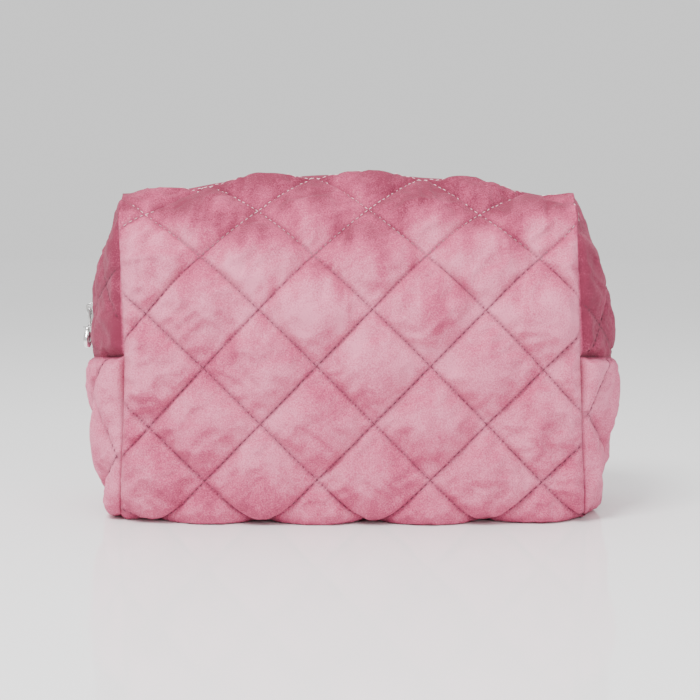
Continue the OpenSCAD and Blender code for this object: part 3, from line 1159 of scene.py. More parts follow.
@dataclass(frozen=True)
class PlainCloth:
    """A plain woven cloth, shown by its threads."""

    name: str
    colour: str
    shade: str
    thread: float = 0.6 * MM
    roughness: float = 0.7
    sheen: float = 0.2

    def build(self) -> bpy.types.Material:
        """Make the material on object coordinates.

        Returns:
            The material.
        """
        material, tree, shader = fresh_material(self.name)
        where = add_node(tree, "ShaderNodeTexCoord").outputs["Object"]
        warp = add_node(
            tree, "ShaderNodeTexWave",
            {"Vector": where, "Scale": math.pi / (10 * self.thread), "Distortion": 0.6, "Detail": 1.0},
            wave_type="BANDS", bands_direction="X"
        ).outputs["Fac"]
        weft = add_node(
            tree, "ShaderNodeTexWave",
            {"Vector": where, "Scale": math.pi / (10 * self.thread), "Distortion": 0.6, "Detail": 1.0},
            wave_type="BANDS", bands_direction="Z"
        ).outputs["Fac"]
        cross = add_node(tree, "ShaderNodeMath", {0: warp, 1: weft}, operation="MULTIPLY").outputs[0]
        uneven = add_node(
            tree, "ShaderNodeTexNoise", {"Vector": where, "Scale": 1 / (9 * MM), "Detail": 3.0}
        ).outputs[0]
        both = add_node(tree, "ShaderNodeMath", {0: uneven, 1: 0.6, 2: cross}, operation="MULTIPLY_ADD").outputs[0]
        colour = ramp(tree, both, [(0.15, self.shade), (0.95, self.colour)])
        tree.links.new(colour, shader.inputs["Base Color"])
        bump = add_node(tree, "ShaderNodeBump", {"Height": cross, "Strength": 0.5, "Distance": 0.15 * MM})
        tree.links.new(bump.outputs[0], shader.inputs["Normal"])
        shader.inputs["Roughness"].default_value = self.roughness
        shader.inputs["Sheen Weight"].default_value = self.sheen
        return material


@dataclass(frozen=True)
class Polished:
    """Nickel-plated zinc casting, tumbled bright."""

    name: str
    colour: str = "#dcdad9"
    roughness: float = 0.12

    def build(self) -> bpy.types.Material:
        """Make the material on object coordinates.

        Returns:
            The material.
        """
        material, tree, shader = fresh_material(self.name)
        where = add_node(tree, "ShaderNodeTexCoord").outputs["Object"]
        marks = add_node(
            tree, "ShaderNodeTexNoise", {"Vector": where, "Scale": 1 / (1.2 * MM), "Detail": 4.0, "Roughness": 0.6}
        ).outputs[0]
        rough = add_node(
            tree, "ShaderNodeMapRange",
            {"Value": marks, "From Min": 0.3, "From Max": 0.7, "To Min": self.roughness * 0.7,
            "To Max": self.roughness * 1.6}
        ).outputs[0]
        tree.links.new(rough, shader.inputs["Roughness"])
        tone = ramp(tree, marks, [(0.3, "#cfcdcc"), (0.7, self.colour)])
        tree.links.new(tone, shader.inputs["Base Color"])
        shader.inputs["Metallic"].default_value = 1.0
        return material


@dataclass(frozen=True)
class Nylon:
    """Extruded nylon or spun thread with a soft gloss."""

    name: str
    low: str
    high: str
    z_low: float = 0.085
    z_high: float = 0.135
    roughness: float = 0.45

    def build(self) -> bpy.types.Material:
        """Make the material; its colour rises from low to high up the bag. On the thread this is painted shade on the
        lower rows and a painted highlight on the top ones.

        Returns:
            The material.
        """
        material, tree, shader = fresh_material(self.name)
        where = add_node(tree, "ShaderNodeTexCoord").outputs["Object"]
        z = add_node(tree, "ShaderNodeSeparateXYZ", {"Vector": where}).outputs["Z"]
        level = add_node(
            tree, "ShaderNodeMapRange", {"Value": z, "From Min": self.z_low, "From Max": self.z_high}
        ).outputs[0]
        twist = add_node(
            tree, "ShaderNodeTexNoise", {"Vector": where, "Scale": 1 / (0.5 * MM), "Detail": 2.0}
        ).outputs[0]
        near = add_node(tree, "ShaderNodeMath", {0: twist, 1: 0.5}, operation="SUBTRACT").outputs[0]
        level = add_node(tree, "ShaderNodeMath", {0: near, 1: 0.3, 2: level}, operation="MULTIPLY_ADD").outputs[0]
        tree.links.new(ramp(tree, level, [(0.0, self.low), (1.0, self.high)]), shader.inputs["Base Color"])
        shader.inputs["Roughness"].default_value = self.roughness
        return material


class Finish(Enum):
    """Every finish on the bag."""

    # woven double and cut apart, so the pile stands and shows each way it is brushed; its colour also carries painted
    # shade and sheen
    VELVET = Velvet()
    # crimped fibres laid in a web: no thread shows and it scatters light
    WADDING = PlainCloth("polyester wadding", "#f4f0ee", "#dcd6d4", 1.5 * MM, 0.95, 0.4)
    # filament yarn woven smooth, which gives it a soft shine
    LINING = PlainCloth("satin lining", "#e9c6ce", "#c797a3", 0.5 * MM, 0.42, 0.1)
    # spun polyester woven tight and dyed with the coil: matt
    TAPE = PlainCloth("woven zip tape", "#b87287", "#8c4e61", 0.55 * MM, 0.75, 0.3)
    BINDING = PlainCloth("binding tape", "#c88a9b", "#9d6071", 0.6 * MM, 0.6, 0.2)
    # monofilament drawn and wound hot on a mandrel: smooth with a soft gloss
    COIL = Nylon("nylon coil", "#b06a7f", "#b06a7f", roughness=0.35)
    # spun and twisted; painted highlight on the top rows and painted shade on the lower ones, which lie in the pile
    THREAD = Nylon("polyester thread", "#551d31", "#f8c4d0", 0.125, 0.155, 0.6)
    # cast in zinc, tumbled and nickel plated: bright with fine marks
    METAL = Polished("nickel plated casting")
    BRIGHT = Polished("polished drop", "#f4f3f2", 0.16)

    def material(self) -> bpy.types.Material:
        """The Blender material, built once.

        Returns:
            The material.
        """
        cached = _MATERIALS.get(self.name)
        if cached is None:
            cached = _MATERIALS[self.name] = self.value.build()
        return cached


_MATERIALS: dict[str, bpy.types.Material] = {}


def dress(obj: bpy.types.Object, finish: Finish, slot: str) -> bpy.types.Object:
    """Give a piece its finish and name the record's slot it stands for.

    Args:
        obj: The piece.
        finish: The finish it is given.
        slot: The record's slot.

    Returns:
        The object.
    """
    obj.data.materials.clear()
    obj.data.materials.append(finish.material())
    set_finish(obj, slot)
    return obj


# --------------------------------------------------------------------------
# the cloth
# --------------------------------------------------------------------------
class Part(Enum):
    """Parts that each cloth layer is cut into."""

    FRONT = "front"
    REAR = "rear"
    BASE = "base"

    def panels(self) -> tuple[str, ...]:
        """Names of the skin's panels that make up this part.

        Returns:
            Panel names.
        """
        if self is Part.BASE:
            return ("low_left", "low_right", "under")
        return (self.value, f"{self.value}_left", f"{self.value}_right")


def set_moving(obj: bpy.types.Object, part: Part) -> None:
    """Ride on the base, or keep the piece where it stands with its transform baked into its mesh.

    Args:
        obj: The piece.
        part: Which part of the bag it belongs to.
    """
    if part is Part.BASE:
        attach(obj, "base")
    else:
        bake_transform(obj)


@dataclass
class Cover:
    """The quilted velvet, its hems and its colour."""

    skin: Skin
    cloth: float = 1.2 * MM
    surface: Array = field(init=False)
    normals: Array = field(init=False)

    def __post_init__(self) -> None:
        """Work out the quilted surface once for all parts."""
        self.surface = self.skin.quilted()
        self.normals = self.skin.normals_of(self.surface)

    def nap(self) -> Array:
        """Lightness of the pile at each point, 0 dark to 1 light. It holds the pile's brushing and blotches together
        with painted shade and sheen: darker towards the top of the faces, on one side of each puff and where the
        cloth turns up or down.

        Returns:
            One value for each point.
        """
        k = self.skin
        # painted shade and sheen: darker towards the top of the faces and a little darker at the bottom
        light = np.interp(
            k.t, np.array([-80, 10, 50, 95, 125, 145, 165, 200]) * MM,
            [0.64, 0.66, 0.76, 0.78, 0.72, 0.56, 0.32, 0.12]
        )
        light = np.where(k.kind == 1, -0.04, light)
        light = np.where(k.kind == 2, 0.84, light)
        aside = smooth((np.abs(k.s) - 60 * MM) / (45 * MM)) * (k.kind == 0)
        light += 0.22 * aside * np.interp(k.t, np.array([100, 150, 175]) * MM, [0.0, 1.0, 0.3])
        # painted shade across each puff: one side of each diamond darker than the other, most in the upper rows
        a, b = k.quilt.lines(k.s, k.t)
        rise = (a - np.floor(a)) - (b - np.floor(b))
        high = np.interp(k.t, np.array([60, 120, 150, 175, 200]) * MM, [0.25, 0.8, 1.0, 0.7, 0.3]) * (k.kind == 0)
        light -= 0.15 * high * rise
        light += (0.13 + 0.09 * high) * value_noise(k.s, k.t, 21 * MM, 21)
        light += (0.09 + 0.11 * high) * value_noise(k.s * 1.7, k.t * 0.7, 9 * MM, 22)
        brushed = creases(k.s, k.t, 5.0 * MM, 34 * MM, 78.0, 23)
        light += 0.10 * high * brushed + 0.07 * creases(k.s, k.t, 4.0 * MM, 18 * MM, 30.0, 24)
        # painted shade: the pile is made darker where the cloth turns up or down from the viewer
        up = self.normals[:, 2]
        light -= (0.26 * np.clip(up, 0, 0.8) + 0.42 * np.clip(-up - 0.04, 0, 0.5)) * (k.kind != 1)
        return light

    def crush(self) -> Array:
        """How far the pile is pressed down beside the stitching, 0 to 1, with painted shade in the stitch grooves and
        the seam grooves.

        Returns:
            One value for each point.
        """
        k = self.skin
        near = k.quilt.near(k.s, k.t)
        # pressed pile and painted shade along the stitch grooves
        line = 0.62 * np.exp(-((near / (0.75 * MM)) ** 2)) * smooth(k.edge / (5 * MM))
        over = smooth((k.t - k.form.t_tip + 14 * MM) / (14 * MM)) * (k.kind != 2)
        # painted shade in the seam grooves
        seam = 0.4 * np.exp(-((k.seam / (1.2 * MM)) ** 2)) * (1 - over)
        return np.maximum(line, seam)

    def build(self, part: Part) -> bpy.types.Object:
        """Make one part of the cover as a closed sheet of cloth.

        Args:
            part: Which part of the bag it belongs to.

        Returns:
            The object.
        """
        k = self.skin
        quads = np.concatenate([k.faces[n] for n in part.panels()])
        outer, nap, crush = self.surface, self.nap(), self.crush()
        normals = self.normals
        if part is not Part.BASE:
            outer, normals, nap, crush, quads = self._with_hem(part, outer, normals, nap, crush, quads)
        inner = outer - normals * self.cloth
        inner[:, 2] = np.maximum(inner[:, 2], 0.2 * MM)
        verts, faces, used = close_shell(outer, inner, quads)
        obj = new_object(f"velvet_cover_{part.value}", verts, faces)
        set_attribute(obj, "nap", np.concatenate([nap[used], nap[used]]))
        set_attribute(obj, "crush", np.concatenate([crush[used], crush[used]]))
        dress(obj, Finish.VELVET, "velvet")
        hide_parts(f"velvet_{part.value}")
        set_moving(obj, part)
        return obj

    def _with_hem(
        self, part: Part, outer: Array, normals: Array, nap: Array, crush: Array, quads: Array
    ) -> tuple[Array, Array, Array, Array, Array]:
        """Turn the edge beside the zip in and down to the tape.

        Args:
            part: Which part of the bag it belongs to.
            outer: Points of the sheet.
            normals: Outward direction at each point.
            nap: Lightness at each point, with painted shade and sheen.
            crush: How far the pile is pressed at each point, with painted shade in the grooves.
            quads: Faces of the part.

        Returns:
            The same five, with the hem added.
        """
        k = self.skin
        side = -1 if part is Part.FRONT else 1
        left, right = k.grids[f"{part.value}_left"], k.grids[f"{part.value}_right"]
        path = np.concatenate([left[:-1, -1], k.grids[part.value][-1], right[:-1, -1][::-1]])
        e, n = outer[path], normals[path].copy()
        n[:, 1] = 0
        n /= np.linalg.norm(n, axis=1, keepdims=True)
        toward = np.array([0.0, -side, 0.0])
        rings = []
        for y, d in ((0.5, 0.5), (0.9, 1.6), (0.8, 3.2), (0.2, 4.8)):
            rings.append(e + toward * y * MM - n * d * MM)
        base = len(outer)
        count = len(path)
        ids = np.concatenate([path[None]] + [base + i * count + np.arange(count)[None] for i in range(len(rings))])
        outward = [n * 0.4 + toward * 0.9] * len(rings)
        outer = np.concatenate([outer, *rings])
        normals = np.concatenate([normals, *[v / np.linalg.norm(v, axis=1, keepdims=True) for v in outward]])
        nap = np.concatenate([nap, *[nap[path]] * len(rings)])
        crush = np.concatenate([crush, *[crush[path]] * len(rings)])
        return outer, normals, nap, crush, np.concatenate([quads, Skin._quads(ids, part is Part.REAR)])


@dataclass
class Padding:
    """Wadding and lining behind the velvet, on a coarser sheet."""

    skin: Skin
    wadding_depth: float = 5.4 * MM
    lining_depth: float = 6.2 * MM

    def wadding(self, part: Part) -> bpy.types.Object:
        """The wadding, which follows the puffs outside and the lining inside.

        Args:
            part: Which part of the bag it belongs to.

        Returns:
            The object.
        """
        k = self.skin
        surface = k.quilted()
        n = k.normals_of(surface)
        sunk = 1.9 * MM + 1.1 * MM * np.exp(-((np.minimum(k.quilt.near(k.s, k.t), k.seam) / (4 * MM)) ** 2))
        outer = surface - n * sunk[:, None]
        inner = k.points - k.normals * self.wadding_depth
        inner = np.where(
            np.sum((outer - inner) * k.normals, 1, keepdims=True) < 0.4 * MM, outer - k.normals * 0.4 * MM, inner
        )
        outer[:, 2] = np.maximum(outer[:, 2], 0.9 * MM)
        inner[:, 2] = np.maximum(inner[:, 2], 1.4 * MM)
        quads = np.concatenate([k.faces[name] for name in part.panels()])
        quads = quads[k.edge[quads].min(1) > 0.9 * k.step] if part is not Part.BASE else quads
        verts, faces, _ = close_shell(outer, inner, quads)
        obj = new_object(f"wadding_{part.value}_pad", verts, faces)
        dress(obj, Finish.WADDING, "wadding")
        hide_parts(f"wadding_{part.value}")
        set_moving(obj, part)
        return obj

    def lining(self, part: Part) -> bpy.types.Object:
        """The lining, a little loose behind the quilting.

        Args:
            part: Which part of the bag it belongs to.

        Returns:
            The object.
        """
        k = self.skin
        loose = (
            0.5 * MM * (1 + value_noise(k.s, k.t, 26 * MM, 31)) + 0.25 * MM * value_noise(k.s, k.t * 0.5, 9 * MM, 32)
        )
        outer = k.points - k.normals * (self.lining_depth + loose)[:, None]
        inner = outer - k.normals * 0.5 * MM
        outer[:, 2] = np.maximum(outer[:, 2], 1.8 * MM)
        inner[:, 2] = np.maximum(inner[:, 2], 2.3 * MM)
        quads = np.concatenate([k.faces[name] for name in part.panels()])
        verts, faces, _ = close_shell(outer, inner, quads)
        obj = new_object(f"lining_{part.value}_cloth", verts, faces)
        dress(obj, Finish.LINING, "lining")
        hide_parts(f"lining_{part.value}")
        set_moving(obj, part)
        return obj


# --------------------------------------------------------------------------
# stitching
# --------------------------------------------------------------------------
@dataclass
class Stitching:
    """Running stitches along the quilting, made with geometry nodes."""

    cover: Cover
    pitch: float = 3.1 * MM
    length: float = 2.1 * MM
    thread: float = 0.44 * MM
    from_zip: float = 4.2 * MM

    def _sampler(self, panel: str) -> Callable[[Array, Array], tuple[Array, Array]]:
        """A function from grid row and column, as fractions, to a point and normal.

        Args:
            panel: Name of the panel.

        Returns:
            The function.
        """
        ids = self.cover.skin.grids[panel]
        p, n = self.cover.surface[ids], self.cover.normals[ids]

        def at(i: Array, j: Array) -> tuple[Array, Array]:
            """Bilinear point and normal.

            Args:
                i: Grid rows.
                j: Grid columns.

            Returns:
                Points and normals.
            """
            i = np.clip(i, 0, ids.shape[0] - 1.001)
            j = np.clip(j, 0, ids.shape[1] - 1.001)
            i0, j0 = np.floor(i).astype(int), np.floor(j).astype(int)
            a, b = (i - i0)[:, None], (j - j0)[:, None]

            def mix(g: Array) -> Array:
                """Blend four neighbours.

                Args:
                    g: Values on the grid.

                Returns:
                    Blended values.
                """
                return (
                    (g[i0, j0] * (1 - b) + g[i0, j0 + 1] * b) * (1 - a)
                    + (g[i0 + 1, j0] * (1 - b) + g[i0 + 1, j0 + 1] * b) * a
                )

            return mix(p), mix(n)

        return at

    def _trace(self, panel: str) -> list[tuple[Array, Array]]:
        """Follow every quilting line over one panel, as runs of points and normals.

        Args:
            panel: Name of the panel.

        Returns:
            Lines of points and normals.
        """
        k = self.cover.skin
        ids = k.grids[panel]
        s, t = k.s[ids], k.t[ids]
        a, b = k.quilt.lines(s, t)
        seam, edge = k.seam[ids], k.edge[ids]
        at = self._sampler(panel)
        runs = []
        for count in (a, b):
            for level in range(math.ceil(count.min()), math.floor(count.max()) + 1):
                pts = []
                diff = count - level
                for i in range(ids.shape[0]):
                    row = diff[i]
                    flips = np.nonzero(row[:-1] * row[1:] < 0)[0]
                    for j in flips:
                        f = row[j] / (row[j] - row[j + 1])
                        if min(seam[i, j], seam[i, j + 1]) < 1.2 * MM or edge[i, j] < 2.5 * MM:
                            continue
                        pts.append((float(i), j + f))
                if len(pts) < 4:
                    continue
                grid = np.array(sorted(pts))
                p, n = at(grid[:, 0], grid[:, 1])
                runs.append((p, n))
        return runs

    def _hemline(self, part: Part) -> list[tuple[Array, Array]]:
        """The row of topstitching beside the zip.

        Args:
            part: Which part of the bag it belongs to.

        Returns:
            Lines of points and normals.
        """
        k = self.cover.skin
        out = []
        for panel in part.panels():
            ids = k.grids[panel]
            if panel == part.value:
                want = int(np.argmin(np.abs(k.edge[ids[:, 0]] - self.from_zip)))
                line = ids[want]
            else:
                want = int(np.argmin(np.abs(k.edge[ids[0]] - self.from_zip)))
                line = ids[:, want]
            out.append((self.cover.surface[line], self.cover.normals[line]))
        return out

    def build(self, part: Part) -> bpy.types.Object:
        """Make every stitch of one part as a single mesh.

        Args:
            part: Which part of the bag it belongs to.

        Returns:
            The object.
        """
        runs: list[tuple[Array, Array]] = []
        for panel in part.panels():
            if panel == "under":
                continue
            runs += self._trace(panel)
        if part is not Part.BASE:
            runs += self._hemline(part)
        obj = self._instances(f"quilting_thread_{part.value}", runs)
        dress(obj, Finish.THREAD, "velvet")
        set_moving(obj, part)
        return obj

    def _instances(self, name: str, runs: list[tuple[Array, Array]]) -> bpy.types.Object:
        """Lay the stitches out as points with a direction and set a thread on each.

        Args:
            name: Name to give it.
            runs: Lines of points and normals.

        Returns:
            The object.
        """
        where, along, up = [], [], []
        for p, n in runs:
            seg = np.linalg.norm(np.diff(p, axis=0), axis=1)
            run = np.concatenate([[0], np.cumsum(seg)])
            count = int(run[-1] / self.pitch)
            if count < 1:
                continue
            d = (np.arange(count) + 0.5) * run[-1] / count
            h = self.length / 2
            mid = np.stack([np.interp(d, run, p[:, k]) for k in range(3)], 1)
            a = np.stack([np.interp(d - h, run, p[:, k]) for k in range(3)], 1)
            b = np.stack([np.interp(d + h, run, p[:, k]) for k in range(3)], 1)
            nn = np.stack([np.interp(d, run, n[:, k]) for k in range(3)], 1)
            where.append(mid + nn * 0.06 * MM)
            along.append(b - a)
            up.append(nn)
        mesh = bpy.data.meshes.new(name)
        mesh.from_pydata([tuple(map(float, v)) for v in np.concatenate(where)], [], [])
        set_directions(mesh, "along", np.concatenate(along))
        set_directions(mesh, "up", np.concatenate(up))
        return grown(linked(name, mesh), self._tree(), {"Stitch length": self.length, "Thread width": self.thread})

    def _tree(self) -> bpy.types.NodeTree:
        """Geometry nodes that set a rounded thread on every point.

        Returns:
            The tree.
        """
        tree = new_tree("running stitch", ("Stitch length", "Thread width"))
        source = add_node(tree, "NodeGroupInput")
        ball = add_node(tree, "GeometryNodeMeshUVSphere", {"Segments": 6, "Rings": 6, "Radius": 0.5})
        size = add_node(
            tree, "ShaderNodeCombineXYZ",
            {"X": source.outputs["Stitch length"], "Y": source.outputs["Thread width"],
            "Z": source.outputs["Thread width"]}
        )
        shaped = add_node(tree, "GeometryNodeTransform", {"Geometry": ball.outputs["Mesh"], "Scale": size.outputs[0]})
        along = add_node(tree, "GeometryNodeInputNamedAttribute", {"Name": "along"}, data_type="FLOAT_VECTOR")
        up = add_node(tree, "GeometryNodeInputNamedAttribute", {"Name": "up"}, data_type="FLOAT_VECTOR")
        first = add_node(tree, "FunctionNodeAlignRotationToVector", {"Vector": along.outputs[0]}, axis="X")
        second = add_node(
            tree, "FunctionNodeAlignRotationToVector", {"Rotation": first.outputs[0], "Vector": up.outputs[0]},
            axis="Z", pivot_axis="X"
        )
        placed = add_node(
            tree, "GeometryNodeInstanceOnPoints",
            {"Points": source.outputs["Geometry"], "Instance": shaped.outputs[0], "Rotation": second.outputs[0]}
        )
        real = add_node(tree, "GeometryNodeRealizeInstances", {"Geometry": placed.outputs[0]})
        soft = add_node(tree, "GeometryNodeSetShadeSmooth", {"Geometry": real.outputs[0]})
        dressed = add_node(
            tree, "GeometryNodeSetMaterial", {"Geometry": soft.outputs[0], "Material": Finish.THREAD.material()}
        )
        add_node(tree, "NodeGroupOutput", {"Geometry": dressed.outputs[0]})
        return tree


# --------------------------------------------------------------------------
# zip
# --------------------------------------------------------------------------
@dataclass
class Zip:
    """Tapes and coils, following the bag's outline over the ends and the crown."""

    form: Form
    end_radius: float = 114.551 * MM
    arc_x: float = 21.449 * MM
    depth: float = 5.8 * MM
    coil_in: float = -0.5 * MM
    coil_out: float = 3.6 * MM
    reach: float = 15 * MM
    foot: float = 74 * MM

    def centreline(self) -> Path:
        """The zip's middle from the left seam over the top to the right seam, as (x, z).

        Returns:
            The path, as (x, z).
        """
        f = self.form
        track = self.end_radius - self.depth
        right = [(self.arc_x + track, self.foot), (self.arc_x + track, f.shoulder)]
        right += [
            (self.arc_x + track * math.cos(a), f.shoulder + track * math.sin(a))
            for a in np.radians(np.linspace(1, 35, 30))
        ]
        top_x = right[-1][0] - 3 * MM
        crown = []
        for k in range(0, 41):
            x = top_x * (1 - k / 20)
            crown.append((x, f.height - f.crown * (x / (110 * MM)) ** 2 - self.depth))
        left = [(-x, z) for x, z in right[::-1]]
        return Path(by_length(np.array(right + crown + left)[::-1], 0.8 * MM, 1.6 * MM))

    def tape(self, part: Part) -> bpy.types.Object:
        """One tape: a thin woven strip that dips with the wall away from the zip.

        Args:
            part: Which part of the bag it belongs to.

        Returns:
            The object.
        """
        side = -1 if part is Part.FRONT else 1
        line = self.centreline()
        d = np.linspace(0, line.length, 150)
        c = line.at(d)
        tangent = np.gradient(c, axis=0)
        tangent /= np.linalg.norm(tangent, axis=1, keepdims=True)
        n = np.stack([-tangent[:, 1], tangent[:, 0]], 1)
        n *= np.sign((n * (c - np.array([0, 0.05]))).sum(1))[:, None]
        ys = np.linspace(self.coil_out, self.reach, 9)
        drop = 0.36 * np.clip(ys - 7.5 * MM, 0, None)
        up = np.clip((c[:, 1] - 150 * MM) / (12 * MM), 0, 1)
        rows = []
        for y, fall in zip(ys, drop):
            level = c - n * (fall * (0.35 + 0.65 * up))[:, None]
            rows.append(np.stack([level[:, 0], np.full(len(c), side * y), level[:, 1]], 1))
        grid = np.stack(rows)
        normal = np.stack([n[:, 0], 0 * n[:, 0], n[:, 1]], 1)[None]
        top = (grid + normal * 0.3 * MM).reshape(-1, 3)
        low = (grid - normal * 0.3 * MM).reshape(-1, 3)
        ids = np.arange(len(top)).reshape(grid.shape[:2])
        verts, faces, _ = close_shell(top, low, Skin._quads(ids, side > 0))
        obj = new_object(f"zip_tape_{part.value}_weave", verts, faces)
        dress(obj, Finish.TAPE, "zip_tape")
        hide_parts(f"zip_tape_{part.value}")
        set_moving(obj, part)
        return obj

    def coil(self, part: Part, pitch: float = 1.45 * MM) -> bpy.types.Object:
        """One coil: turns of nylon set along the edge of the tape with geometry nodes.

        Args:
            part: Which part of the bag it belongs to.
            pitch: Distance between turns, in metres.

        Returns:
            The object.
        """
        side = -1 if part is Part.FRONT else 1
        line = self.centreline()
        d = np.arange(0.8 * MM, line.length - 1.6 * MM, pitch) + (pitch / 2 if side > 0 else 0)
        c = line.at(d)
        ahead = line.at(d + 0.2 * MM) - line.at(d - 0.2 * MM)
        mesh = bpy.data.meshes.new(f"zip_coil_{part.value}_turns")
        mesh.from_pydata([(float(x), side * (self.coil_in + self.coil_out) / 2, float(z)) for x, z in c], [], [])
        set_directions(mesh, "along", np.stack([ahead[:, 0], 0 * ahead[:, 0], ahead[:, 1]], 1))
        obj = grown(linked(mesh.name, mesh), self._turn_tree(), {"Turn width": self.coil_out - self.coil_in})
        dress(obj, Finish.COIL, "zip_coil")
        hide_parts(f"zip_coil_{part.value}")
        set_moving(obj, part)
        return obj

    def _turn_tree(self) -> bpy.types.NodeTree:
        """Geometry nodes that set one flattened ring on every point.

        Returns:
            The tree.
        """
        tree = new_tree("coil turn", ("Turn width",))
        source = add_node(tree, "NodeGroupInput")
        half = add_node(
            tree, "ShaderNodeMath", {0: source.outputs["Turn width"], 1: 0.5}, operation="MULTIPLY"
        ).outputs[0]
        ring = add_node(tree, "GeometryNodeCurvePrimitiveCircle", {"Resolution": 10, "Radius": 1.0})
        size = add_node(tree, "ShaderNodeCombineXYZ", {"X": half, "Y": 0.9 * MM, "Z": 1.0})
        shaped = add_node(tree, "GeometryNodeTransform", {"Geometry": ring.outputs[0], "Scale": size.outputs[0]})
        # the ring stands across the direction of the zip
        turned = add_node(
            tree, "GeometryNodeTransform",
            {"Geometry": shaped.outputs[0], "Rotation": (math.pi / 2, 0.0, math.pi / 2)}
        )
        wire = add_node(tree, "GeometryNodeCurvePrimitiveCircle", {"Resolution": 5, "Radius": 0.32 * MM})
        swept = add_node(
            tree, "GeometryNodeCurveToMesh", {"Curve": turned.outputs[0], "Profile Curve": wire.outputs[0]}
        )
        along = add_node(tree, "GeometryNodeInputNamedAttribute", {"Name": "along"}, data_type="FLOAT_VECTOR")
        facing = add_node(
            tree, "FunctionNodeAlignRotationToVector", {"Vector": along.outputs[0]}, axis="X", pivot_axis="Y"
        )
        placed = add_node(
            tree, "GeometryNodeInstanceOnPoints",
            {"Points": source.outputs["Geometry"], "Instance": swept.outputs[0], "Rotation": facing.outputs[0]}
        )
        real = add_node(tree, "GeometryNodeRealizeInstances", {"Geometry": placed.outputs[0]})
        soft = add_node(tree, "GeometryNodeSetShadeSmooth", {"Geometry": real.outputs[0]})
        dressed = add_node(
            tree, "GeometryNodeSetMaterial", {"Geometry": soft.outputs[0], "Material": Finish.COIL.material()}
        )
        add_node(tree, "NodeGroupOutput", {"Geometry": dressed.outputs[0]})
        return tree


def cad_shape(node: str) -> bmesh.types.BMesh:
    """A welded copy of a CAD node's mesh, whose own triangles are loose.

    Args:
        node: The CAD node's name.

    Returns:
        The working mesh.
    """
    source = next(o for o in bpy.data.objects if o.get("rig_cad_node") == node)
    bm = bmesh.new()
    bm.from_mesh(source.data)
    bmesh.ops.remove_doubles(bm, verts=bm.verts, dist=WELD)
    return bm


def rounded_copy(node: str, name: str, radius: float, segments: int = 3) -> bpy.types.Object:
    """Copy a CAD node's shape with its edges rounded, and stand it in for the node.

    Args:
        node: The CAD node's name.
        name: Name to give it.
        radius: Radius of the rounding, in metres.
        segments: Steps in the rounding.

    Returns:
        The object.
    """
    bm = cad_shape(node)
    bmesh.ops.dissolve_limit(bm, angle_limit=FLAT, verts=bm.verts, edges=bm.edges)
    sharp = [e for e in bm.edges if len(e.link_faces) == 2 and e.calc_face_angle(0) > SHARP]
    bmesh.ops.bevel(
        bm, geom=sharp, offset=radius, segments=segments, profile=0.5, affect="EDGES", clamp_overlap=True
    )
    bmesh.ops.recalc_face_normals(bm, faces=bm.faces)
    obj = finished(bm, name)
    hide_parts(node)
    return obj


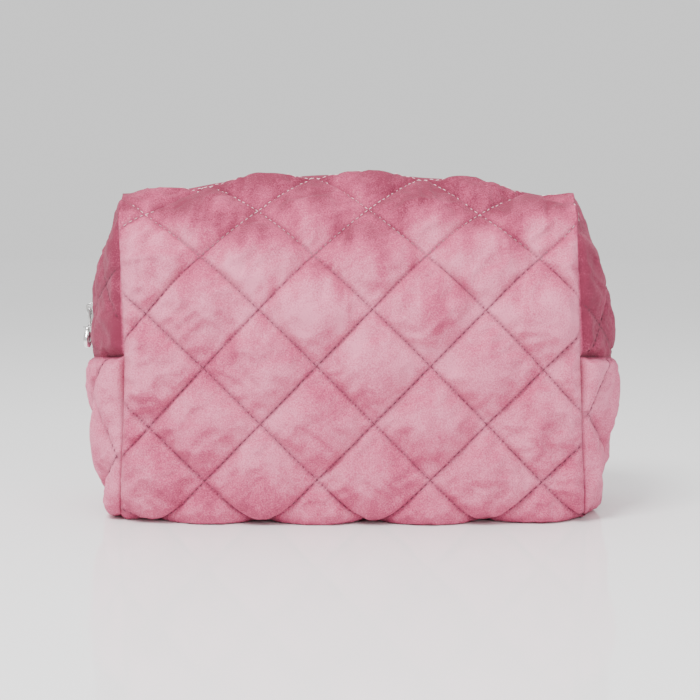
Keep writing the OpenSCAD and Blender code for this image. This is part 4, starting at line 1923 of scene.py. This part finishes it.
@dataclass
class Hardware:
    """Slider, link, pull and stops."""

    hang_x: float = -135.017 * MM
    hang_z: float = 101.935 * MM
    eye_z: float = 94.135 * MM
    wire: float = 1.2 * MM
    link_width: float = 5.4 * MM
    pull_length: float = 11 * MM
    pull_width: float = 8.6 * MM
    pull_thick: float = 4.2 * MM
    stand_off: float = 1.5 * MM

    def build(self) -> list[bpy.types.Object]:
        """Make every metal piece; the slider, link and pull pieces are put on their bodies, and the stops keep their
        place with their transforms baked.

        Returns:
            The objects.
        """
        made = []
        for node, radius in (("slider_body", 0.3 * MM), ("slider_bridge", 0.25 * MM)):
            obj = rounded_copy(node, f"{node}_casting", radius)
            dress(obj, Finish.METAL, "zip_metal")
            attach(obj, "slider")
            made.append(obj)
        for node, part in (("top_stop_front", Part.FRONT), ("top_stop_rear", Part.REAR), ("bottom_stop", Part.FRONT)):
            obj = rounded_copy(node, f"{node}_clip", 0.25 * MM)
            dress(obj, Finish.METAL, "zip_metal")
            set_moving(obj, part)
            made.append(obj)
        made += [self._link(), self._pin(), self._pull()]
        return made

    def _link(self) -> bpy.types.Object:
        """Closed wire loop between the slider's bridge and the pull.

        Returns:
            The object.
        """
        half, r = self.link_width / 2 - self.wire / 2, 0.9 * MM
        top, low = self.hang_z, self.eye_z - self.wire / 2
        path = []
        for (cy, cz, a0) in (
            (half - r, top - r, 0), (-half + r, top - r, 90), (-half + r, low + r, 180), (half - r, low + r, 270)
        ):
            for k in range(7):
                a = math.radians(a0 + 90 * k / 6)
                path.append((cy + r * math.cos(a), cz + r * math.sin(a)))
        return self._loop(path)

    def _loop(self, path: list[tuple[float, float]]) -> bpy.types.Object:
        """Sweep the wire round a closed path in the YZ plane.

        Args:
            path: Points round the loop, as (y, z).

        Returns:
            The object.
        """
        p = np.array(path)
        n, m, r = len(p), 12, self.wire / 2
        ahead = np.roll(p, -1, 0) - np.roll(p, 1, 0)
        ahead /= np.linalg.norm(ahead, axis=1, keepdims=True)
        out = np.stack([ahead[:, 1], -ahead[:, 0]], 1)
        verts = []
        for k in range(n):
            for j in range(m):
                a = 2 * math.pi * j / m
                verts.append((self.hang_x + r * math.cos(a), p[k, 0] + out[k, 0] * r * math.sin(a), p[k,
                1] + out[k, 1] * r * math.sin(a)))
        faces = [
            (k * m + j, k * m + (j + 1) % m, ((k + 1) % n) * m + (j + 1) % m, ((k + 1) % n) * m + j)
            for k in range(n)
            for j in range(m)
        ]
        obj = new_object("pull_link_wire", np.array(verts), faces)
        self._outwards(obj)
        dress(obj, Finish.METAL, "zip_metal")
        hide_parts("pull_link")
        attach(obj, "link")
        return obj

    @staticmethod
    def _outwards(obj: bpy.types.Object) -> None:
        """Turn every face outwards.

        Args:
            obj: The piece.
        """
        bm = bmesh.new()
        bm.from_mesh(obj.data)
        bmesh.ops.recalc_face_normals(bm, faces=bm.faces)
        bm.to_mesh(obj.data)
        bm.free()

    def _pin(self) -> bpy.types.Object:
        """The pin that the pull turns on.

        Returns:
            The object.
        """
        obj = rounded_copy("link_pin", "link_pin_wire", 0.08 * MM, 1)
        dress(obj, Finish.METAL, "zip_metal")
        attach(obj, "link")
        return obj

    @staticmethod
    def _fullness(h: float) -> float:
        """Width of the drop at height h, 0 to 1: full below, drawn in to the neck above.

        Args:
            h: Height, 0 at the bottom to 1 at the top.

        Returns:
            Share of the full width.
        """
        widest, above, cap = 0.38, 0.62, 0.1
        if h < widest:
            return math.sqrt(max(0.0, 1 - ((h - widest) / widest) ** 2))
        taper = 1 - 0.72 * smooth(np.array((h - widest) / above)) ** 0.9
        return taper * math.sqrt(max(0.0, 1 - max(0.0, (h - (1 - cap)) / cap) ** 2))

    def _pull(self) -> bpy.types.Object:
        """Polished drop, domed on both faces, with an eye at its top.

        Returns:
            The object.
        """
        top = self.eye_z - self.wire - 0.25 * MM - 0.2 * MM
        low = top - self.pull_length
        r = self.pull_width / 2
        cx = self.hang_x - self.stand_off
        rings, m = 26, 28
        verts = []
        for k in range(rings + 1):
            v = k / rings
            a = math.pi * v
            z = low + self.pull_length * (1 - math.cos(a)) / 2
            h = (z - low) / self.pull_length
            w = r * self._fullness(h)
            th = self.pull_thick / 2 * min(1.0, (w / r)) ** 0.55
            for j in range(m):
                b = 2 * math.pi * j / m
                cb, sb = math.cos(b), math.sin(b)
                verts.append((cx + th * math.copysign(abs(cb) ** 0.8, cb), w * math.copysign(abs(sb) ** 0.9, sb), z))
        faces = [
            (k * m + j, k * m + (j + 1) % m, (k + 1) * m + (j + 1) % m, (k + 1) * m + j)
            for k in range(rings)
            for j in range(m)
        ]
        bm = bmesh.new()
        made = [bm.verts.new(tuple(map(float, v))) for v in verts]
        for f in faces:
            bm.faces.new([made[i] for i in f])
        bmesh.ops.remove_doubles(bm, verts=bm.verts, dist=0.02 * MM)
        bm.from_mesh(upper_copy("drop_pull", top - 0.4 * MM))
        bmesh.ops.recalc_face_normals(bm, faces=bm.faces)
        obj = finished(bm, "drop_pull_polished")
        dress(obj, Finish.BRIGHT, "zip_metal")
        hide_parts("drop_pull")
        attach(obj, "pull")
        return obj


def upper_copy(node: str, above: float) -> bpy.types.Mesh:
    """The part of a CAD node above a height, closed and with softened edges.

    Args:
        node: The CAD node's name.
        above: Height to keep above.

    Returns:
        The mesh.
    """
    bm = cad_shape(node)
    geometry = bm.verts[:] + bm.edges[:] + bm.faces[:]
    cut = bmesh.ops.bisect_plane(bm, geom=geometry, plane_co=(0, 0, above), plane_no=(0, 0, -1), clear_outer=True)
    rim = [g for g in cut["geom_cut"] if isinstance(g, bmesh.types.BMEdge)]
    bmesh.ops.holes_fill(bm, edges=rim)
    bmesh.ops.dissolve_limit(bm, angle_limit=FLAT, verts=bm.verts, edges=bm.edges)
    mesh = bpy.data.meshes.new(f"{node}_eye")
    bm.to_mesh(mesh)
    bm.free()
    return mesh


# --------------------------------------------------------------------------
# seam bindings inside
# --------------------------------------------------------------------------
@dataclass
class Bindings:
    """Bound seam allowances that stand up inside the bag."""

    skin: Skin
    width: float = 7 * MM
    thick: float = 1.8 * MM
    depth: float = 7.2 * MM

    def _strip(self, name: str, ids: Array, inward: Array, across: Array) -> bpy.types.Object:
        """A folded tape along a line of skin points.

        Args:
            name: Name to give it.
            ids: Numbers of the skin points that it follows.
            inward: Direction in which it stands.
            across: Direction of its thickness.

        Returns:
            The object.
        """
        p = self.skin.points[ids] + inward * self.depth
        prof = [(-0.5, 0.0), (-0.5, 0.75), (-0.3, 0.95), (0.0, 1.0), (0.3, 0.95), (0.5, 0.75), (0.5, 0.0)]
        rows = [p + inward * (b * self.width) + across * (a * self.thick) for a, b in prof]
        grid = np.stack(rows)
        n, m = grid.shape[:2]
        verts = grid.reshape(-1, 3)
        idx = np.arange(n * m).reshape(n, m)
        faces = [tuple(f) for f in Skin._quads(np.concatenate([idx, idx[:1]]), False)]
        faces += [tuple(idx[:, 0]), tuple(idx[::-1, -1])]
        obj = new_object(name, verts, faces)
        Hardware._outwards(obj)
        dress(obj, Finish.BINDING, "binding")
        return obj

    def corners(self, part: Part) -> bpy.types.Object:
        """The bindings behind the corner seams of one part.

        Args:
            part: Which part of the bag it belongs to.

        Returns:
            The object.
        """
        k = self.skin
        made = []
        sides = {Part.FRONT: (-1,), Part.REAR: (1,), Part.BASE: (-1, 1)}[part]
        for side in sides:
            grid = k.grids["front" if side < 0 else "rear"]
            for hand in (-1, 1):
                column = grid[:, -1 if hand > 0 else 0]
                ids = column[8 : k.i_seam] if part is Part.BASE else column[k.i_seam + 1 : k.i_tip - 8]
                inward = np.tile(np.array([-hand * 0.72, -side * 0.69, 0.0]), (len(ids), 1))
                across = np.tile(np.array([-0.69 * side, 0.72 * hand, 0.0]), (len(ids), 1))
                made.append(self._strip(f"bind_{side}_{hand}", ids, inward, across))
        obj = joined(f"corner_bindings_{part.value}_tape", made)
        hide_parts(f"corner_bindings_{part.value}")
        set_moving(obj, part)
        return obj

    def ends(self) -> bpy.types.Object:
        """The bindings behind the two end seams.

        Returns:
            The object.
        """
        k = self.skin
        made = []
        for hand, name in ((-1, "low_left"), (1, "low_right")):
            grid = k.grids[name]
            row = grid[-3]
            ids = row[4:-4]
            inward = np.tile(np.array([float(-hand), 0.0, 0.0]), (len(ids), 1))
            across = np.tile(np.array([0.0, 0.0, 1.0]), (len(ids), 1))
            made.append(self._strip(f"bind_end_{hand}", ids, inward, across))
        obj = joined("end_seam_bindings_tape", made)
        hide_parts("end_seam_bindings")
        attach(obj, "base")
        return obj


def joined(name: str, objects: list[bpy.types.Object]) -> bpy.types.Object:
    """Join plain mesh objects into one of the given name.

    Args:
        name: Name to give it.
        objects: The objects, which are used up.

    Returns:
        The object.
    """
    bm = bmesh.new()
    for o in objects:
        bm.from_mesh(o.data)
    obj = finished(bm, name)
    for m in objects[0].data.materials:
        obj.data.materials.append(m)
    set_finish(obj, objects[0]["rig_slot"])
    for o in objects:
        bpy.data.objects.remove(o)
    return obj


# --------------------------------------------------------------------------
# studio
# --------------------------------------------------------------------------
@dataclass
class Studio:
    """Floor, lights and camera."""

    distance: float = 650 * MM
    aim_z: float = 85.2 * MM
    pitch: float = 5.0
    side: float = -1.2 * MM
    focal: float = 70.6

    def build(self) -> None:
        """Set up the floor, the lights and the camera."""
        self._floor()
        self._lights()
        self._camera()

    def _floor(self) -> None:
        """A pale glossy sheet that runs back without a horizon."""
        half, below = 6.0, -0.0003
        corners = np.array([(-half, -half, below), (half, -half, below), (half, half, below), (-half, half, below)])
        floor = new_object("studio_floor", corners, [(0, 1, 2, 3)], False)
        # cast acrylic: level and hard, so it mirrors the bag softly
        material, _, shader = fresh_material("white acrylic sheet")
        shader.inputs["Base Color"].default_value = linear("#fafafa")
        shader.inputs["Roughness"].default_value = 0.08
        shader.inputs["Specular IOR Level"].default_value = 0.5
        floor.data.materials.append(material)

    def _lights(self) -> None:
        """Large soft boxes in front and above, in a white room."""
        world = bpy.data.worlds.new("white room")
        bpy.context.scene.world = world
        world.use_nodes = True
        world.node_tree.nodes["Background"].inputs[0].default_value = (1, 1, 1, 1)
        world.node_tree.nodes["Background"].inputs[1].default_value = 1.0
        for name, place, size, power in (
            ("key softbox", (-0.55, -0.75, 1.6), 0.6, 44.0),
            ("fill softbox", (1.0, -1.4, 0.9), 1.2, 8.0),
            ("top softbox", (0.0, 0.1, 1.8), 1.4, 12.0),
        ):
            data = bpy.data.lights.new(name, "AREA")
            data.size, data.energy = size, power
            lamp = linked(name, data)
            lamp.location = place
            lamp.rotation_euler = (Vector((0, 0, 0.08)) - Vector(place)).to_track_quat("-Z", "Y").to_euler()

    def _camera(self) -> None:
        """A camera straight in front, a little above the middle of the bag."""
        data = bpy.data.cameras.new("camera")
        data.lens, data.sensor_width = self.focal, 36.0
        camera = linked("camera", data)
        rise = self.distance * math.tan(math.radians(self.pitch))
        place = Vector((self.side, FACE_Y - self.distance, self.aim_z + rise))
        aim = Vector((self.side, FACE_Y, self.aim_z))
        camera.location = place
        camera.rotation_euler = (aim - place).to_track_quat("-Z", "Y").to_euler()
        data.dof.use_dof = False
        bpy.context.scene.camera = camera


def main() -> None:
    """Build every piece in order and report it."""
    logging.basicConfig(level=logging.INFO, format="%(name)s: %(message)s")
    form, quilt = Form(), Quilt()
    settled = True
    fine = Skin(form, quilt, FINE_STEP if settled else QUICK_STEP, settled=settled)
    coarse = Skin(form, quilt, COARSE_STEP, settled=settled)
    cover = Cover(fine)
    padding = Padding(coarse)
    stitching = Stitching(cover)
    closure = Zip(form)
    bindings = Bindings(coarse)
    for part in Part:
        obj = cover.build(part)
        LOG.info("%s: %d faces", obj.name, len(obj.data.polygons))
        for made in (padding.wadding(part), padding.lining(part), stitching.build(part), bindings.corners(part)):
            LOG.info("%s: %d faces", made.name, len(made.data.polygons))
        if part is not Part.BASE:
            for made in (closure.tape(part), closure.coil(part)):
                LOG.info("%s: %d faces", made.name, len(made.data.polygons))
    LOG.info("%s", bindings.ends().name)
    for obj in Hardware().build():
        LOG.info("%s: %d faces", obj.name, len(obj.data.polygons))
    Studio().build()
    bpy.context.view_layer.update()


if __name__ == "__main__":
    main()
